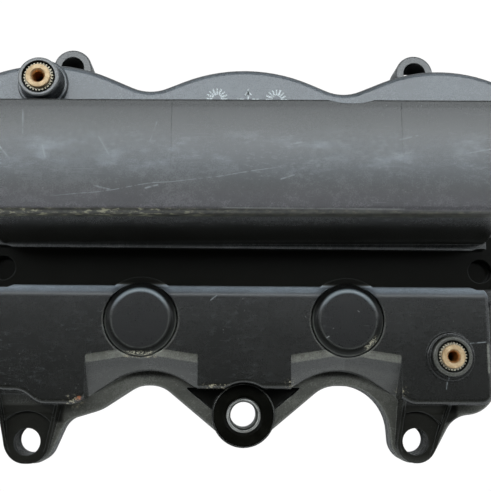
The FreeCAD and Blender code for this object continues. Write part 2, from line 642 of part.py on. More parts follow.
def cavity():
    """The open inside of the cover: front room, trough room, rear room and the separator barrel."""
    wall = dim("wall")
    inner_half = half - dim("flange_width") - wall
    room = prism("front_room_prism", inset(deck, wall), -1, f"$deck_height - $wall + 1")
    drop = wall / math.cos(math.radians(dim("ramp_angle")))
    wedges = ramp_tools("ramp_west_inside", -1, wall, drop) + ramp_tools("ramp_east_inside", 1, wall, drop)
    bay = cylinder("boss_bay_inside", 0, dim("boss_y"), -2, "$boss_radius + $wall", "$deck_height + 5")
    front = cut("front_room", room, fused("front_room_cuts", wedges + [bay]))
    recess_room = dim("end_recess_x") - dim("end_recess_radius") - wall
    trough = box("trough_room", (-recess_room, deck_north - 6, -1),
                 (recess_room, 14, dim("trough_floor") - wall))
    rear = prism("rear_room", inset(wave_outline(), wall), dim("rim_height"),
                 "$plate_height - $wall - $rim_height")
    rim = prism("rim_opening", inset(wave_outline(), dim("flange_width") + wall), -1, "$rim_height + 2")
    thick, foot = dim("barrel_wall"), dim("barrel_foot")
    south, north, ceiling = dim("barrel_south") + thick, dim("barrel_north") - thick, barrel_ceiling()
    section = [(foot + thick, -1, 0), (north, -1, 0), (north, ceiling, 1.0), (south, ceiling, 1.0),
               (foot + thick, dim("trough_floor"), 0)]
    barrel = extruded("barrel_room", side_outline("barrel_room_section", section, wall - dim("barrel_half")),
                      Vector(1, 0, 0), "2 * $barrel_half - 2 * $wall")
    keep = box("rim_keep", (-half, -20, -1), (half, 90, dim("rim_height")))
    inside_rim = box("rim_inside", (-inner_half, -20, -1), (inner_half, 90, dim("rim_height")))
    barrel = cut("barrel_room_clear", barrel, cut("rim_ends", keep, inside_rim))
    return fused("cavity", [front, trough, rear, rim, barrel])


def seal_ring(name, low, height, extra=0.0):
    """A ring that follows the body, as wide as the perimeter seal plus a clearance on each side."""
    edge = dim("gasket_inset")
    outer = prism(name + "_outer", inset(body, edge - extra), low, height)
    inner = prism(name + "_inner", inset(body, edge + dim("gasket_width") + extra), low - 1, height + " + 2")
    return cut(name, outer, inner)


def inside_fittings():
    """Posts and collars that stand inside the cavity."""
    posts = [cylinder(f"screw_post_{i}", x, y, dim("base_top"), "$screw_radius + 2.4",
                      "$barrel_height - $base_top - 2.6") for i, (x, y) in enumerate(screw_rows(), start=1)]
    wells = [well_collar(1), well_collar(-1)]
    rear_x, rear_y = dim("insert_rear_x"), dim("insert_rear_y")
    front_x, front_y = dim("insert_front_x"), dim("insert_front_y")
    root = dim("insert_root")
    bottoms = [cylinder("insert_rear_root", rear_x, rear_y, dim("plate_height") - root, "$insert_boss_top",
                        "$insert_root - 1"),
               cylinder("insert_front_root", front_x, front_y, dim("deck_height") - root - 2.6, "$insert_boss_top",
                        "$insert_root + 0.8")]
    at, y, z = 0.5 - dim("barrel_half"), dim("spigot_y"), dim("spigot_z")
    outlet = along_x("outlet_collar_inside", at, y, z, "$outlet_collar", "$outlet_boss_length")
    ears = [along_x(f"outlet_ear_{i}", at, y + side * dim("ear_spacing") / 2, z, "$ear_radius",
                    "$outlet_boss_length") for i, side in enumerate((-1, 1), start=1)]
    return posts + wells + bottoms + [outlet] + ears


def screw_rows():
    """X and Y of the eight separator screws."""
    outer = dim("screw_x")
    return [(x, dim(y)) for x in (-outer, -outer / 3, outer / 3, outer) for y in ("screw_south", "screw_north")]


def along_x(name, x, y, z, radius, length):
    """A cylinder whose axis runs along +X from x."""
    solid = doc.addObject("Part::Cylinder", name)
    bind(solid, Radius=radius, Height=length)
    solid.Placement = Placement(Vector(x, y, z), Rotation(Vector(0, 1, 0), 90))
    return solid


def holes():
    """Every hole, recess and groove that is cut after the fittings are in."""
    seat = dim("lug_seat")
    tools = [cylinder("hole_lug_west", dim("lug_left_x"), dim("lug_y"), -1, "$lug_hole", "$lug_seat + 20"),
             cylinder("hole_lug_east", dim("lug_right_x"), dim("lug_y"), -1, "$lug_hole", "$lug_seat + 20"),
             cylinder("hole_boss", 0, dim("boss_y"), -1, "$sleeve_radius + 0.05", "$lug_seat + 5"),
             cylinder("washer_recess", 0, dim("boss_y"), seat - dim("washer_thick"),
                      "$washer_radius + $slack", "$washer_thick + 3")]
    for side, word in ((-1, "west"), (1, "east")):
        tools.append(cylinder(f"hole_rear_{word}", side * dim("rear_lug_x"), dim("rear_lug_y"), -1,
                              "$rear_lug_hole", "$rear_lug_height + 5"))
        x, y = side * dim("end_recess_x"), dim("end_recess_y")
        tools.append(cylinder(f"end_recess_{word}", x, y, dim("trough_floor") - dim("end_recess_depth"),
                              "$end_recess_radius", "$end_recess_depth + 4"))
        tools.append(cylinder(f"socket_room_{word}", x, y, dim("trough_floor"), "$socket_clearance", "6"))
        x, y = side * dim("plug_x"), dim("plug_y")
        tools.append(cylinder(f"well_{word}", x, y, dim("plug_bottom") - 0.05, "$well_radius",
                              "$well_depth + 3"))
        tools.append(cylinder(f"well_opening_{word}", x, y, 0, "$well_radius - $well_ledge",
                              "$plug_bottom + 2"))
        tools.append(cone(f"well_mouth_{word}", x, y, dim("deck_height") - dim("well_mouth"), "$well_radius",
                          "$well_radius + $well_mouth + 0.1", "$well_mouth + 0.1"))
    for word in ("rear", "front"):
        x, y, top = (dim(f"insert_{word}_{key}") for key in ("x", "y", "top"))
        tools.append(cylinder(f"insert_{word}_pocket", x, y, top - dim("insert_pocket_depth"),
                              "$insert_pocket", "$insert_pocket_depth + 5"))
        low = top - dim("insert_length") + dim("insert_proud") - 0.3
        tools.append(cylinder(f"insert_{word}_hole", x, y, low, "$insert_knurl + 0.05", "$insert_length + 1"))
    tools += [cylinder(f"screw_pilot_{i}", x, y, dim("base_top") - 1, "$screw_radius + 0.05",
                       "$screw_length + 1") for i, (x, y) in enumerate(screw_rows(), start=1)]
    end, y, z = -dim("barrel_half"), dim("spigot_y"), dim("spigot_z")
    wide, high = dim("outlet_flange_half") + 0.4, dim("outlet_flange_height") + 0.4
    tools.append(box("outlet_seat", (end - 5, y - wide, z - high), (end, y + wide, z + high)))
    tools.append(along_x("outlet_bore_cut", end - 10, y, z, "$outlet_bore", "30"))
    tools += [along_x(f"outlet_pilot_{i}", end - 2, y + side * dim("ear_spacing") / 2, z,
                      "$outlet_screw + 0.05", "$outlet_screw_length - 0.5")
              for i, side in enumerate((-1, 1), start=1)]
    tools.append(seal_ring("seal_groove", -1, "$gasket_depth + 1.1", extra=0.1))
    return fused("hole_tools", tools)


def cover_shell():
    solids = cover_outside() + [flange_with_pockets()]
    solids += lug("lug_west", lug_left, dim("lug_left_x")) + lug("lug_east", lug_right, dim("lug_right_x"))
    solids += rear_lug(1) + rear_lug(-1)
    solids += insert_boss("boss_rear", dim("insert_rear_x"), dim("insert_rear_y"), dim("plate_height"),
                          "insert_rear_top")
    solids += insert_boss("boss_front", dim("insert_front_x"), dim("insert_front_y"), dim("deck_height"),
                          "insert_front_top")
    boss = cylinder("centre_boss_post", 0, dim("boss_y"), 0, "$boss_radius", "$lug_seat")
    solids.append(filleted("centre_boss", boss, 0.6, lies_at(dim("lug_seat"))))
    hollow = cut("hollow_cover", fused("cover_outside", solids), cavity())
    fitted = fused("fitted_cover", [hollow] + inside_fittings())
    return finished("cover_shell", cut("cover_cut", fitted, holes()))


# ---------------------------------------------------------------- turned pieces

subparts = []


def finished(name, obj):
    """Notes an object as a sub-part, and gives it the label that names its file."""
    obj.Label = name
    subparts.append(obj)
    return obj


def turned_body(name, profile):
    """A PartDesign body: a closed profile of (radius, height) expressions revolved about Z.

    A radius or a height of "0" keeps its point on the axis or on the base plane.
    """
    holder = doc.addObject("PartDesign::Body", name + "_body")
    sketch = holder.newObject("Sketcher::SketchObject", name + "_sketch")
    plane = next(f for f in holder.Origin.OriginFeatures if f.Role == "XZ_Plane")
    sketch.AttachmentSupport, sketch.MapMode = [(plane, "")], "FlatFace"
    points = [Vector(value(r), value(z), 0) for r, z in profile]
    count = len(points)
    for i, point in enumerate(points):
        sketch.addGeometry(Part.LineSegment(point, points[(i + 1) % count]), False)
    for i, (r, z) in enumerate(profile):
        sketch.addConstraint(Sketcher.Constraint("Coincident", i, 2, (i + 1) % count, 1))
        for kind, axis, text, here in (("DistanceX", -2, r, points[i].x), ("DistanceY", -1, z, points[i].y)):
            if text == "0":
                sketch.addConstraint(Sketcher.Constraint("PointOnObject", i, 1, axis))
                continue
            index = sketch.addConstraint(Sketcher.Constraint(kind, -1, 1, i, 1, here))
            sketch.setExpression(f"Constraints[{index}]", expand(text))
    doc.recompute()
    turn = holder.newObject("PartDesign::Revolution", name + "_turn")
    turn.Profile = sketch
    turn.ReferenceAxis = (sketch, ["V_Axis"])
    turn.Angle = 360
    doc.recompute()
    return holder


def knurled_insert(name, word):
    """A brass insert: smooth face, straight knurl below it, tapping bore with a countersink."""
    body_part = turned_body(name, [
        ("$insert_bore", "0"), ("$insert_knurl - 0.6", "0"), ("$insert_knurl", "0.6"),
        ("$insert_knurl", "$insert_length - 1.5"), ("$insert_face", "$insert_length - 1.5"),
        ("$insert_face", "$insert_length - 0.3"), ("$insert_face - 0.3", "$insert_length"),
        ("$insert_bore + 0.9", "$insert_length"), ("$insert_bore", "$insert_length - 1.4")])
    sketch = body_part.newObject("Sketcher::SketchObject", name + "_tooth")
    plane = next(f for f in body_part.Origin.OriginFeatures if f.Role == "XY_Plane")
    sketch.AttachmentSupport, sketch.MapMode = [(plane, "")], "FlatFace"
    tip, depth, width = dim("insert_knurl"), dim("tooth_depth"), dim("tooth_half")
    corners = [Vector(tip + 0.2, -width, 0), Vector(tip + 0.2, width, 0), Vector(tip - depth, 0, 0)]
    for i, corner in enumerate(corners):
        sketch.addGeometry(Part.LineSegment(corner, corners[(i + 1) % 3]), False)
    for i in range(3):
        sketch.addConstraint(Sketcher.Constraint("Coincident", i, 2, (i + 1) % 3, 1))
    doc.recompute()
    plain = body_part.Shape.Volume
    groove = body_part.newObject("PartDesign::Pocket", name + "_groove")
    groove.Profile, groove.Type, groove.Length = sketch, "Length", dim("insert_length") - 1.4
    groove.Reversed = True
    doc.recompute()
    pattern = body_part.newObject("PartDesign::PolarPattern", name + "_knurl")
    pattern.Originals = [groove]
    pattern.Axis = (sketch, ["N_Axis"])
    pattern.Angle = 360
    bind(pattern, Occurrences="$insert_teeth")
    body_part.Tip = pattern
    doc.recompute()
    if body_part.Shape.Volume > plain - 10:
        raise RuntimeError(f"{name}: the knurl cut nothing")
    top = dim(f"insert_{word}_top") + dim("insert_proud")
    body_part.Placement = Placement(Vector(dim(f"insert_{word}_x"), dim(f"insert_{word}_y"),
                                           top - dim("insert_length")), Rotation())
    return finished(name, body_part)


def access_plug(name, side):
    """A round plug with a rounded top edge and a groove for its O-ring."""
    deep = "$plug_top - $plug_bottom"
    body_part = turned_body(name, [
        ("0", "0"), ("$plug_radius - 0.5", "0"), ("$plug_radius", "0.5"), ("$plug_radius", "1.6"),
        ("$plug_radius - 1.7", "1.6"), ("$plug_radius - 1.7", "3.6"), ("$plug_radius", "3.6"),
        ("$plug_radius", deep), ("0", deep)])
    base = body_part.Tip
    height = dim("plug_top") - dim("plug_bottom")
    wanted = [f"Edge{i}" for i, e in enumerate(base.Shape.Edges, start=1)
              if abs(e.BoundBox.ZMin - height) < 1e-3 and e.BoundBox.ZLength < 1e-3 and e.BoundBox.XLength > 9]
    edge = body_part.newObject("PartDesign::Fillet", name + "_rounding")
    edge.Base = (base, wanted)
    bind(edge, Radius="$plug_round")
    doc.recompute()
    body_part.Placement = Placement(Vector(side * dim("plug_x"), dim("plug_y"), dim("plug_bottom")), Rotation())
    return finished(name, body_part)


def o_ring(name, centre, axis, radius, wire):
    """A torus seal with its centre line radius and its section radius given as expressions."""
    ring = doc.addObject("Part::Torus", name)
    bind(ring, Radius1=radius, Radius2=wire)
    ring.Placement = Placement(centre, Rotation(Vector(0, 0, 1), axis))
    return finished(name, ring)


# ---------------------------------------------------------------- seals, sleeve and washer

def perimeter_gasket():
    return finished("cover_gasket", seal_ring("gasket", -dim("gasket_proud"), "$gasket_depth + $gasket_proud"))


def centre_sleeve():
    """The steel sleeve that carries the clamping load of the centre bolt."""
    sleeve = turned_body("sleeve_centre", [
        ("$boss_hole", "0"), ("$sleeve_radius - 0.4", "0"), ("$sleeve_radius", "0.4"),
        ("$sleeve_radius", "$lug_seat - 0.1"), ("$sleeve_radius - 0.5", "$lug_seat + 0.4"),
        ("$boss_hole + 0.6", "$lug_seat + 0.4"), ("$boss_hole", "$lug_seat - 0.8")])
    sleeve.Placement = Placement(Vector(0, dim("boss_y"), 0), Rotation())
    return finished("sleeve_centre", sleeve)


def centre_washer():
    """The rubber sealing washer under the head of the centre bolt."""
    washer = turned_body("sealing_washer", [
        ("$sleeve_radius + $slack", "0"), ("$washer_radius", "0"), ("$washer_radius", "$washer_thick - 0.3"),
        ("$washer_radius - 0.3", "$washer_thick"), ("$sleeve_radius + 1.2", "$washer_thick"),
        ("$sleeve_radius + $slack", "$washer_thick - 0.4")])
    height = dim("lug_seat") - dim("washer_thick") + 0.02
    washer.Placement = Placement(Vector(0, dim("boss_y"), height), Rotation())
    return finished("sealing_washer", washer)


# ---------------------------------------------------------------- oil separator

GUIDED = ((6.0, 1.6), (13.0, 5.0))
BAFFLES = ((-74.0, "south"), (-50.0, "north"), (44.0, "south"), (76.0, "north"))


def separator_base():
    """The panel that closes the barrel from below, with its baffles, guide ribs and two drain tubes."""
    inside = dim("barrel_wall") + 0.45
    top, thick, roof = dim("base_top"), dim("base_thick"), barrel_ceiling() - dim("under_roof")
    west, east = inside - dim("barrel_half"), dim("barrel_half") - inside
    slope = (dim("barrel_south") - dim("barrel_foot")) / (barrel_ceiling() - dim("trough_floor"))
    south = dim("barrel_foot") + inside + slope * (top - dim("trough_floor"))
    north = dim("barrel_north") - inside
    solids = [box("base_panel", (west, south, top - thick), (east, north, top))]
    reach = (north - south) * 0.72
    for i, (x, side) in enumerate(BAFFLES, start=1):
        low, high = (south + 4.2, south + reach) if side == "south" else (north - reach, north - 1)
        solids.append(box(f"baffle_{i}", (x, low, top), (x + dim("baffle_thick"), high, roof)))
    rib, play = dim("guide_rib"), dim("guide_play")
    for i, (x, width) in enumerate(GUIDED, start=1):
        for j, start in enumerate((x - rib - play, x + width + play), start=1):
            solids.append(box(f"guide_{i}_{j}", (start, dim("guided_south"), top),
                              (start + rib, dim("guided_north"), top + dim("guide_height"))))
    tools = []
    for word, side in (("west", -1), ("east", 1)):
        x, y, bottom = side * dim("drain_x"), dim("drain_y"), dim("drain_bottom")
        solids.append(cylinder(f"drain_tube_{word}", x, y, bottom, "$drain_bore + 1.6",
                               "$base_top - $drain_bottom"))
        tools.append(cylinder(f"drain_bore_{word}", x, y, bottom - 1, "$drain_bore",
                              "$valve_seat + 1 - $drain_bottom"))
        tools.append(cylinder(f"drain_neck_{word}", x, y, bottom, "$drain_neck", "$base_top"))
    tools += [cylinder(f"base_hole_{i}", x, y, top - thick - 1, "$screw_radius + 0.3", "$base_thick + 2")
              for i, (x, y) in enumerate(screw_rows(), start=1)]
    return finished("separator_base", cut("base_cut", fused("base_blank", solids), fused("base_tools", tools)))


def upright_plate(name, x, width):
    """A plate that stands on the separator base between two guide ribs."""
    return box(name, (x, dim("guided_south"), dim("base_top") + dim("guide_play")),
               (x + width, dim("guided_north"), barrel_ceiling() - dim("under_roof")))


def nozzle_plate():
    """An upright plate whose nozzles throw the oil mist against the fleece behind it."""
    x, width = GUIDED[0]
    low = dim("base_top") + dim("nozzle_low")
    nozzles = [along_x(f"nozzle_{row}_{column}", x - 1, dim("nozzle_first") + column * dim("nozzle_pitch"),
                       low + row * dim("nozzle_rise"), "$nozzle_radius", "$wall + 1")
               for row in range(3) for column in range(8)]
    blank = upright_plate("nozzle_blank", x, width)
    return finished("nozzle_plate", cut("nozzle_cut", blank, fused("nozzles", nozzles)))


def fleece_pad():
    return finished("fleece_pad", upright_plate("fleece", *GUIDED[1]))


def drain_cage(word, side):
    """A cap that clips over a drain tube and keeps the valve ball in it."""
    x, y = side * dim("drain_x"), dim("drain_y")
    floor, pitch_radius = dim("ball_rest") - dim("ball_radius") - 0.05, dim("cage_slot_pitch")
    cup = cylinder(f"cage_cup_{word}", x, y, floor - dim("cage_floor"), "$drain_bore + $cage_skirt",
                   "$cage_height")
    tools = [cylinder(f"cage_room_{word}", x, y, floor, "$drain_bore + 1.75", "$cage_height")]
    for i in range(4):
        angle = math.radians(45 + 90 * i)
        tools.append(cylinder(f"cage_slot_{word}_{i}", x + pitch_radius * math.cos(angle),
                              y + pitch_radius * math.sin(angle), floor - 3, "$cage_slot", "6"))
    return finished(f"drain_cage_{word}", cut(f"cage_{word}", cup, fused(f"cage_tools_{word}", tools)))


def drain_ball(word, side):
    ball = doc.addObject("Part::Sphere", f"ball_{word}")
    bind(ball, Radius="$ball_radius")
    ball.Placement = Placement(Vector(side * dim("drain_x"), dim("drain_y"), dim("ball_rest")), Rotation())
    return finished(f"drain_ball_{word}", ball)


def screw(name, head, shank, place, turn):
    """A screw from its head and shank, with a six-sided socket sunk at a place along a direction."""
    drive = doc.addObject("Part::Prism", name + "_socket")
    drive.Polygon = 6
    bind(drive, Circumradius="$screw_socket", Height="$screw_socket_depth")
    drive.Placement = Placement(place, turn)
    return cut(name, fused(name + "_blank", [head, shank]), drive)


def separator_screws():
    """Eight thread-forming screws that hold the separator base up against its posts."""
    screws = []
    low = dim("base_top") - dim("base_thick") - 0.05 - dim("screw_head")
    for i, (x, y) in enumerate(screw_rows(), start=1):
        head = cylinder(f"separator_head_{i}", x, y, low, "$screw_radius * 2", "$screw_head")
        shank = cylinder(f"separator_shank_{i}", x, y, low + 1.6, "$screw_radius", "$screw_length")
        screws.append(screw(f"separator_screw_{i}", head, shank, Vector(x, y, low - 0.1), Rotation()))
    return finished("separator_screws", compound("separator_screw_set", screws))


def compound(name, solids):
    group = doc.addObject("Part::Compound", name)
    group.Links = solids
    return group


# ---------------------------------------------------------------- breather outlet and its valve

WEST = Rotation(Vector(0, 1, 0), -90)


def outlet_place(along):
    """A placement on the outlet's axis: Z of the piece points west, from a distance outside the barrel end."""
    return Placement(Vector(-dim("barrel_half") - along, dim("spigot_y"), dim("spigot_z")), WEST)


def breather_outlet():
    """The hose spigot, with the flange that is screwed to the barrel's west end and the valve chamber."""
    tip = "$spigot_tip + $outlet_inside"
    tube = turned_body("outlet_tube", [
        ("$outlet_core", "0"), ("$outlet_nose", "0"), ("$outlet_nose", "$outlet_nose_length"),
        ("$outlet_plug", "$outlet_nose_length"),
        ("$outlet_plug", "$outlet_inside + 0.5"), ("$spigot_radius", "$outlet_inside + 0.5"),
        ("$spigot_radius", tip + " - $spigot_chamfer"), ("$spigot_radius - 0.6", tip), ("$spigot_bore", tip),
        ("$spigot_bore", "$outlet_inside + $seat_plane"), ("$outlet_core", "$outlet_inside + $seat_plane")])
    tube.Placement = outlet_place(-dim("outlet_inside"))
    y, z, end = dim("spigot_y"), dim("spigot_z"), dim("barrel_half")
    wide, high = dim("outlet_flange_half"), dim("outlet_flange_height")
    flange_box = box("outlet_flange_box", (-end - 0.05 - dim("outlet_flange"), y - wide, z - high),
                     (-end - 0.05, y + wide, z + high))
    plate = filleted("outlet_flange_plate", flange_box, 3.5,
                     lambda e: e.BoundBox.XLength > 2.9 and e.BoundBox.YLength < 1e-3)
    core = along_x("outlet_core_cut", -end - 10, y, z, "$spigot_bore", "10 - $seat_plane")
    tools = [core, along_x("outlet_core_small", -end - 10, y, z, "$outlet_core", "12")]
    tools += [along_x(f"outlet_screw_hole_{i}", -end - 5, y + side * dim("ear_spacing") / 2, z,
                      "$outlet_screw + 0.2", "6") for i, side in enumerate((-1, 1), start=1)]
    solid = cut("outlet_cut", fused("outlet_blank", [tube, plate]), fused("outlet_tools", tools))
    return finished("breather_outlet", solid)


def outlet_screws():
    """Two screws that hold the breather outlet on the barrel's end."""
    z, face = dim("spigot_z"), -dim("barrel_half") - dim("outlet_flange") - 0.1
    head_end, turn = face - dim("screw_head"), Rotation(Vector(0, 1, 0), 90)
    screws = []
    for i, side in enumerate((-1, 1), start=1):
        y = dim("spigot_y") + side * dim("ear_spacing") / 2
        head = along_x(f"outlet_head_{i}", head_end, y, z, "$outlet_screw_head", "$screw_head")
        shank = along_x(f"outlet_shank_{i}", face - 0.5, y, z, "$outlet_screw", "$outlet_screw_length")
        screws.append(screw(f"outlet_screw_{i}", head, shank, Vector(head_end - 0.1, y, z), turn))
    return finished("outlet_screws", compound("outlet_screw_set", screws))


def valve_plunger():
    """The breather valve's disc and stem; it lifts west off its seat against the spring."""
    plunger = turned_body("plunger", [
        ("0", "0"), ("$plunger_disc - 0.4", "0"), ("$plunger_disc", "0.4"), ("$plunger_disc", "$plunger_disc_edge"),
        ("$plunger_stem + 0.7", "$plunger_disc_edge + 0.2"), ("$plunger_stem", "$plunger_disc_edge + 1"),
        ("$plunger_stem", "$plunger_length - 0.4"), ("$plunger_stem - 0.3", "$plunger_length"),
        ("0", "$plunger_length")])
    plunger.Placement = outlet_place(dim("seat_plane") + 0.05)
    return finished("valve_plunger", plunger)


def valve_retainer():
    """The spider that guides the stem, carries the spring and closes the valve chamber."""
    thick, start = dim("retainer_thick"), outlet_place(dim("chamber_end") - dim("retainer_thick") - 0.2)
    bore = "$plunger_stem + $stem_clearance"
    ring = turned_body("retainer_ring", [("$retainer_rim", "0"), ("$retainer_outer", "0"),
                                         ("$retainer_outer", "$retainer_thick"), ("$retainer_rim", "$retainer_thick")])
    hub = turned_body("retainer_hub_ring", [(bore, "0"), ("$retainer_hub", "0"), ("$retainer_hub", "$retainer_thick"),
                                            (bore, "$retainer_thick")])
    ring.Placement = hub.Placement = start
    spokes = []
    for i in range(3):
        spoke = doc.addObject("Part::Box", f"retainer_spoke_{i}")
        spoke.Length, spoke.Width, spoke.Height = thick, 1.0, thick
        turn = Rotation(Vector(0, 0, 1), 120 * i)
        corner = turn.multVec(Vector(dim("retainer_hub") - 0.4, -0.5, 0))
        spoke.Placement = start * Placement(corner, turn)
        spokes.append(spoke)
    return finished("valve_retainer", fused("retainer", [ring, hub] + spokes))


def valve_spring():
    """A coil spring between the plunger's disc and the retainer."""
    radius, wire_radius = dim("spring_radius"), dim("spring_wire")
    start = dim("seat_plane") + dim("plunger_disc_edge") + 0.55
    length = dim("chamber_end") - dim("retainer_thick") - 0.55 - start
    coil = Part.makeHelix(length / dim("spring_turns"), length, radius)
    wire = Part.Wire([Part.makeCircle(wire_radius, Vector(radius, 0, 0), Vector(0, 1, 0.25))])
    feature = doc.addObject("Part::Feature", "spring")
    feature.Shape = Part.Wire(coil).makePipeShell([wire], True, True)
    feature.Placement = outlet_place(start)
    return finished("valve_spring", feature)


# ---------------------------------------------------------------- assembly

cover_shell()
perimeter_gasket()
centre_sleeve()
centre_washer()
knurled_insert("insert_rear_left", "rear")
knurled_insert("insert_front_right", "front")
for word, side in (("west", -1), ("east", 1)):
    access_plug(f"plug_{word}", side)
    seal_centre = Vector(side * dim("plug_x"), dim("plug_y"), dim("plug_bottom") + 2.6)
    o_ring(f"plug_seal_{word}", seal_centre, Vector(0, 0, 1), "$plug_radius - 0.75", "$seal_wire")
    drain_cage(word, side)
    drain_ball(word, side)
separator_base()
nozzle_plate()
fleece_pad()
separator_screws()
breather_outlet()
outlet_screws()
seal_middle = outlet_place(dim("outlet_nose_length") / 2 - dim("outlet_inside")).Base
o_ring("outlet_seal", seal_middle, Vector(1, 0, 0), "$outlet_plug - 0.5", "$outlet_seal_wire")
valve_plunger()
valve_retainer()
valve_spring()

doc.recompute()
for item in doc.Objects:
    if "Invalid" in item.State or "Error" in item.State:
        raise RuntimeError(f"{item.Name} failed to recompute: {item.State}")
for item in subparts:
    if item.Shape.isNull() or not item.Shape.isValid() or not item.Shape.Solids:
        raise RuntimeError(f"{item.Label} has no valid solid")
    item.Shape.exportStep(f"parts/{item.Label}.step")
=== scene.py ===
"""Looks of the cylinder-head cover: worn moulded plastic, brass inserts, seals and the pieces inside it."""
import json
import math
import random
from types import SimpleNamespace

import bmesh
import bpy
from mathutils import Euler, Matrix, Vector

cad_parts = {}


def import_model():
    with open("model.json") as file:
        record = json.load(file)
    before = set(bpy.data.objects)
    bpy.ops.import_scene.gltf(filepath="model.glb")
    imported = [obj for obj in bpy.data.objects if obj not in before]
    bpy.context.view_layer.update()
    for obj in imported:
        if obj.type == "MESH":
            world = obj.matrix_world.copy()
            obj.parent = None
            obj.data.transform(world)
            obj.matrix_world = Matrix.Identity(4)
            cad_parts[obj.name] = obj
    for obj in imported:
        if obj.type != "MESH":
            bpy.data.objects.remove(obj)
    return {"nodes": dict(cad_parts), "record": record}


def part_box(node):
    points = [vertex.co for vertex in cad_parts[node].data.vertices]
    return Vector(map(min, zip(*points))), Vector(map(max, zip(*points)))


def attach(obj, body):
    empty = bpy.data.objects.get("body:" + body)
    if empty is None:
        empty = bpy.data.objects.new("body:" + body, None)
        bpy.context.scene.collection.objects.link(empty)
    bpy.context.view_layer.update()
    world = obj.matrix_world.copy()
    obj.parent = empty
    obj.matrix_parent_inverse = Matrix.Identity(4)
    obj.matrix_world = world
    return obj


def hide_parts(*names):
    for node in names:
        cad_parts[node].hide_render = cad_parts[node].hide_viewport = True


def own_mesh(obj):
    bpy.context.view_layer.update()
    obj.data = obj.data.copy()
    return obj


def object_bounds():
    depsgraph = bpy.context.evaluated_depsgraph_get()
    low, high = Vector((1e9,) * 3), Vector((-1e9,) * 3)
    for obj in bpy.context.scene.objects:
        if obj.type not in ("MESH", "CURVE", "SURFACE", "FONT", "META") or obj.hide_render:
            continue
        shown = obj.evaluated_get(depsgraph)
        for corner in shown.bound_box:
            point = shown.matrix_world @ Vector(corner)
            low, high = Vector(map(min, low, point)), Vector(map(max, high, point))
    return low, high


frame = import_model()
cad_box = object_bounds()
nodes = frame["nodes"]
rng = random.Random(7)
MM = 0.001


def box_mm(node):
    """A CAD node's lowest corner, highest corner and middle, in millimetres."""
    low, high = ([round(c / MM, 2) for c in corner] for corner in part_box(node))
    return low, high, [round((a + b) / 2, 1) for a, b in zip(low, high)]


# Places on the CAD pieces that the looks refer to, in millimetres.
_, rear_high, rear_middle = box_mm("insert_rear_left")
_, front_high, front_middle = box_mm("insert_front_right")
INSERT_REAR, INSERT_REAR_TOP = rear_middle[:2], rear_high[2]
INSERT_FRONT, INSERT_FRONT_TOP = front_middle[:2], front_high[2]
PLUG_X, PLUG_Y = box_mm("plug_east")[2][:2]
WELL_RADIUS, PLATE_TOP = 15.4, 39.5
spring_low, spring_high, spring_middle = box_mm("valve_spring")
SPRING_CLEARANCE = 0.31
SPRING_WEST, SPRING_EAST = spring_low[0] + SPRING_CLEARANCE, spring_high[0] - SPRING_CLEARANCE
VALVE_Y, VALVE_Z = spring_middle[1:]


# ---------------------------------------------------------------- node helpers

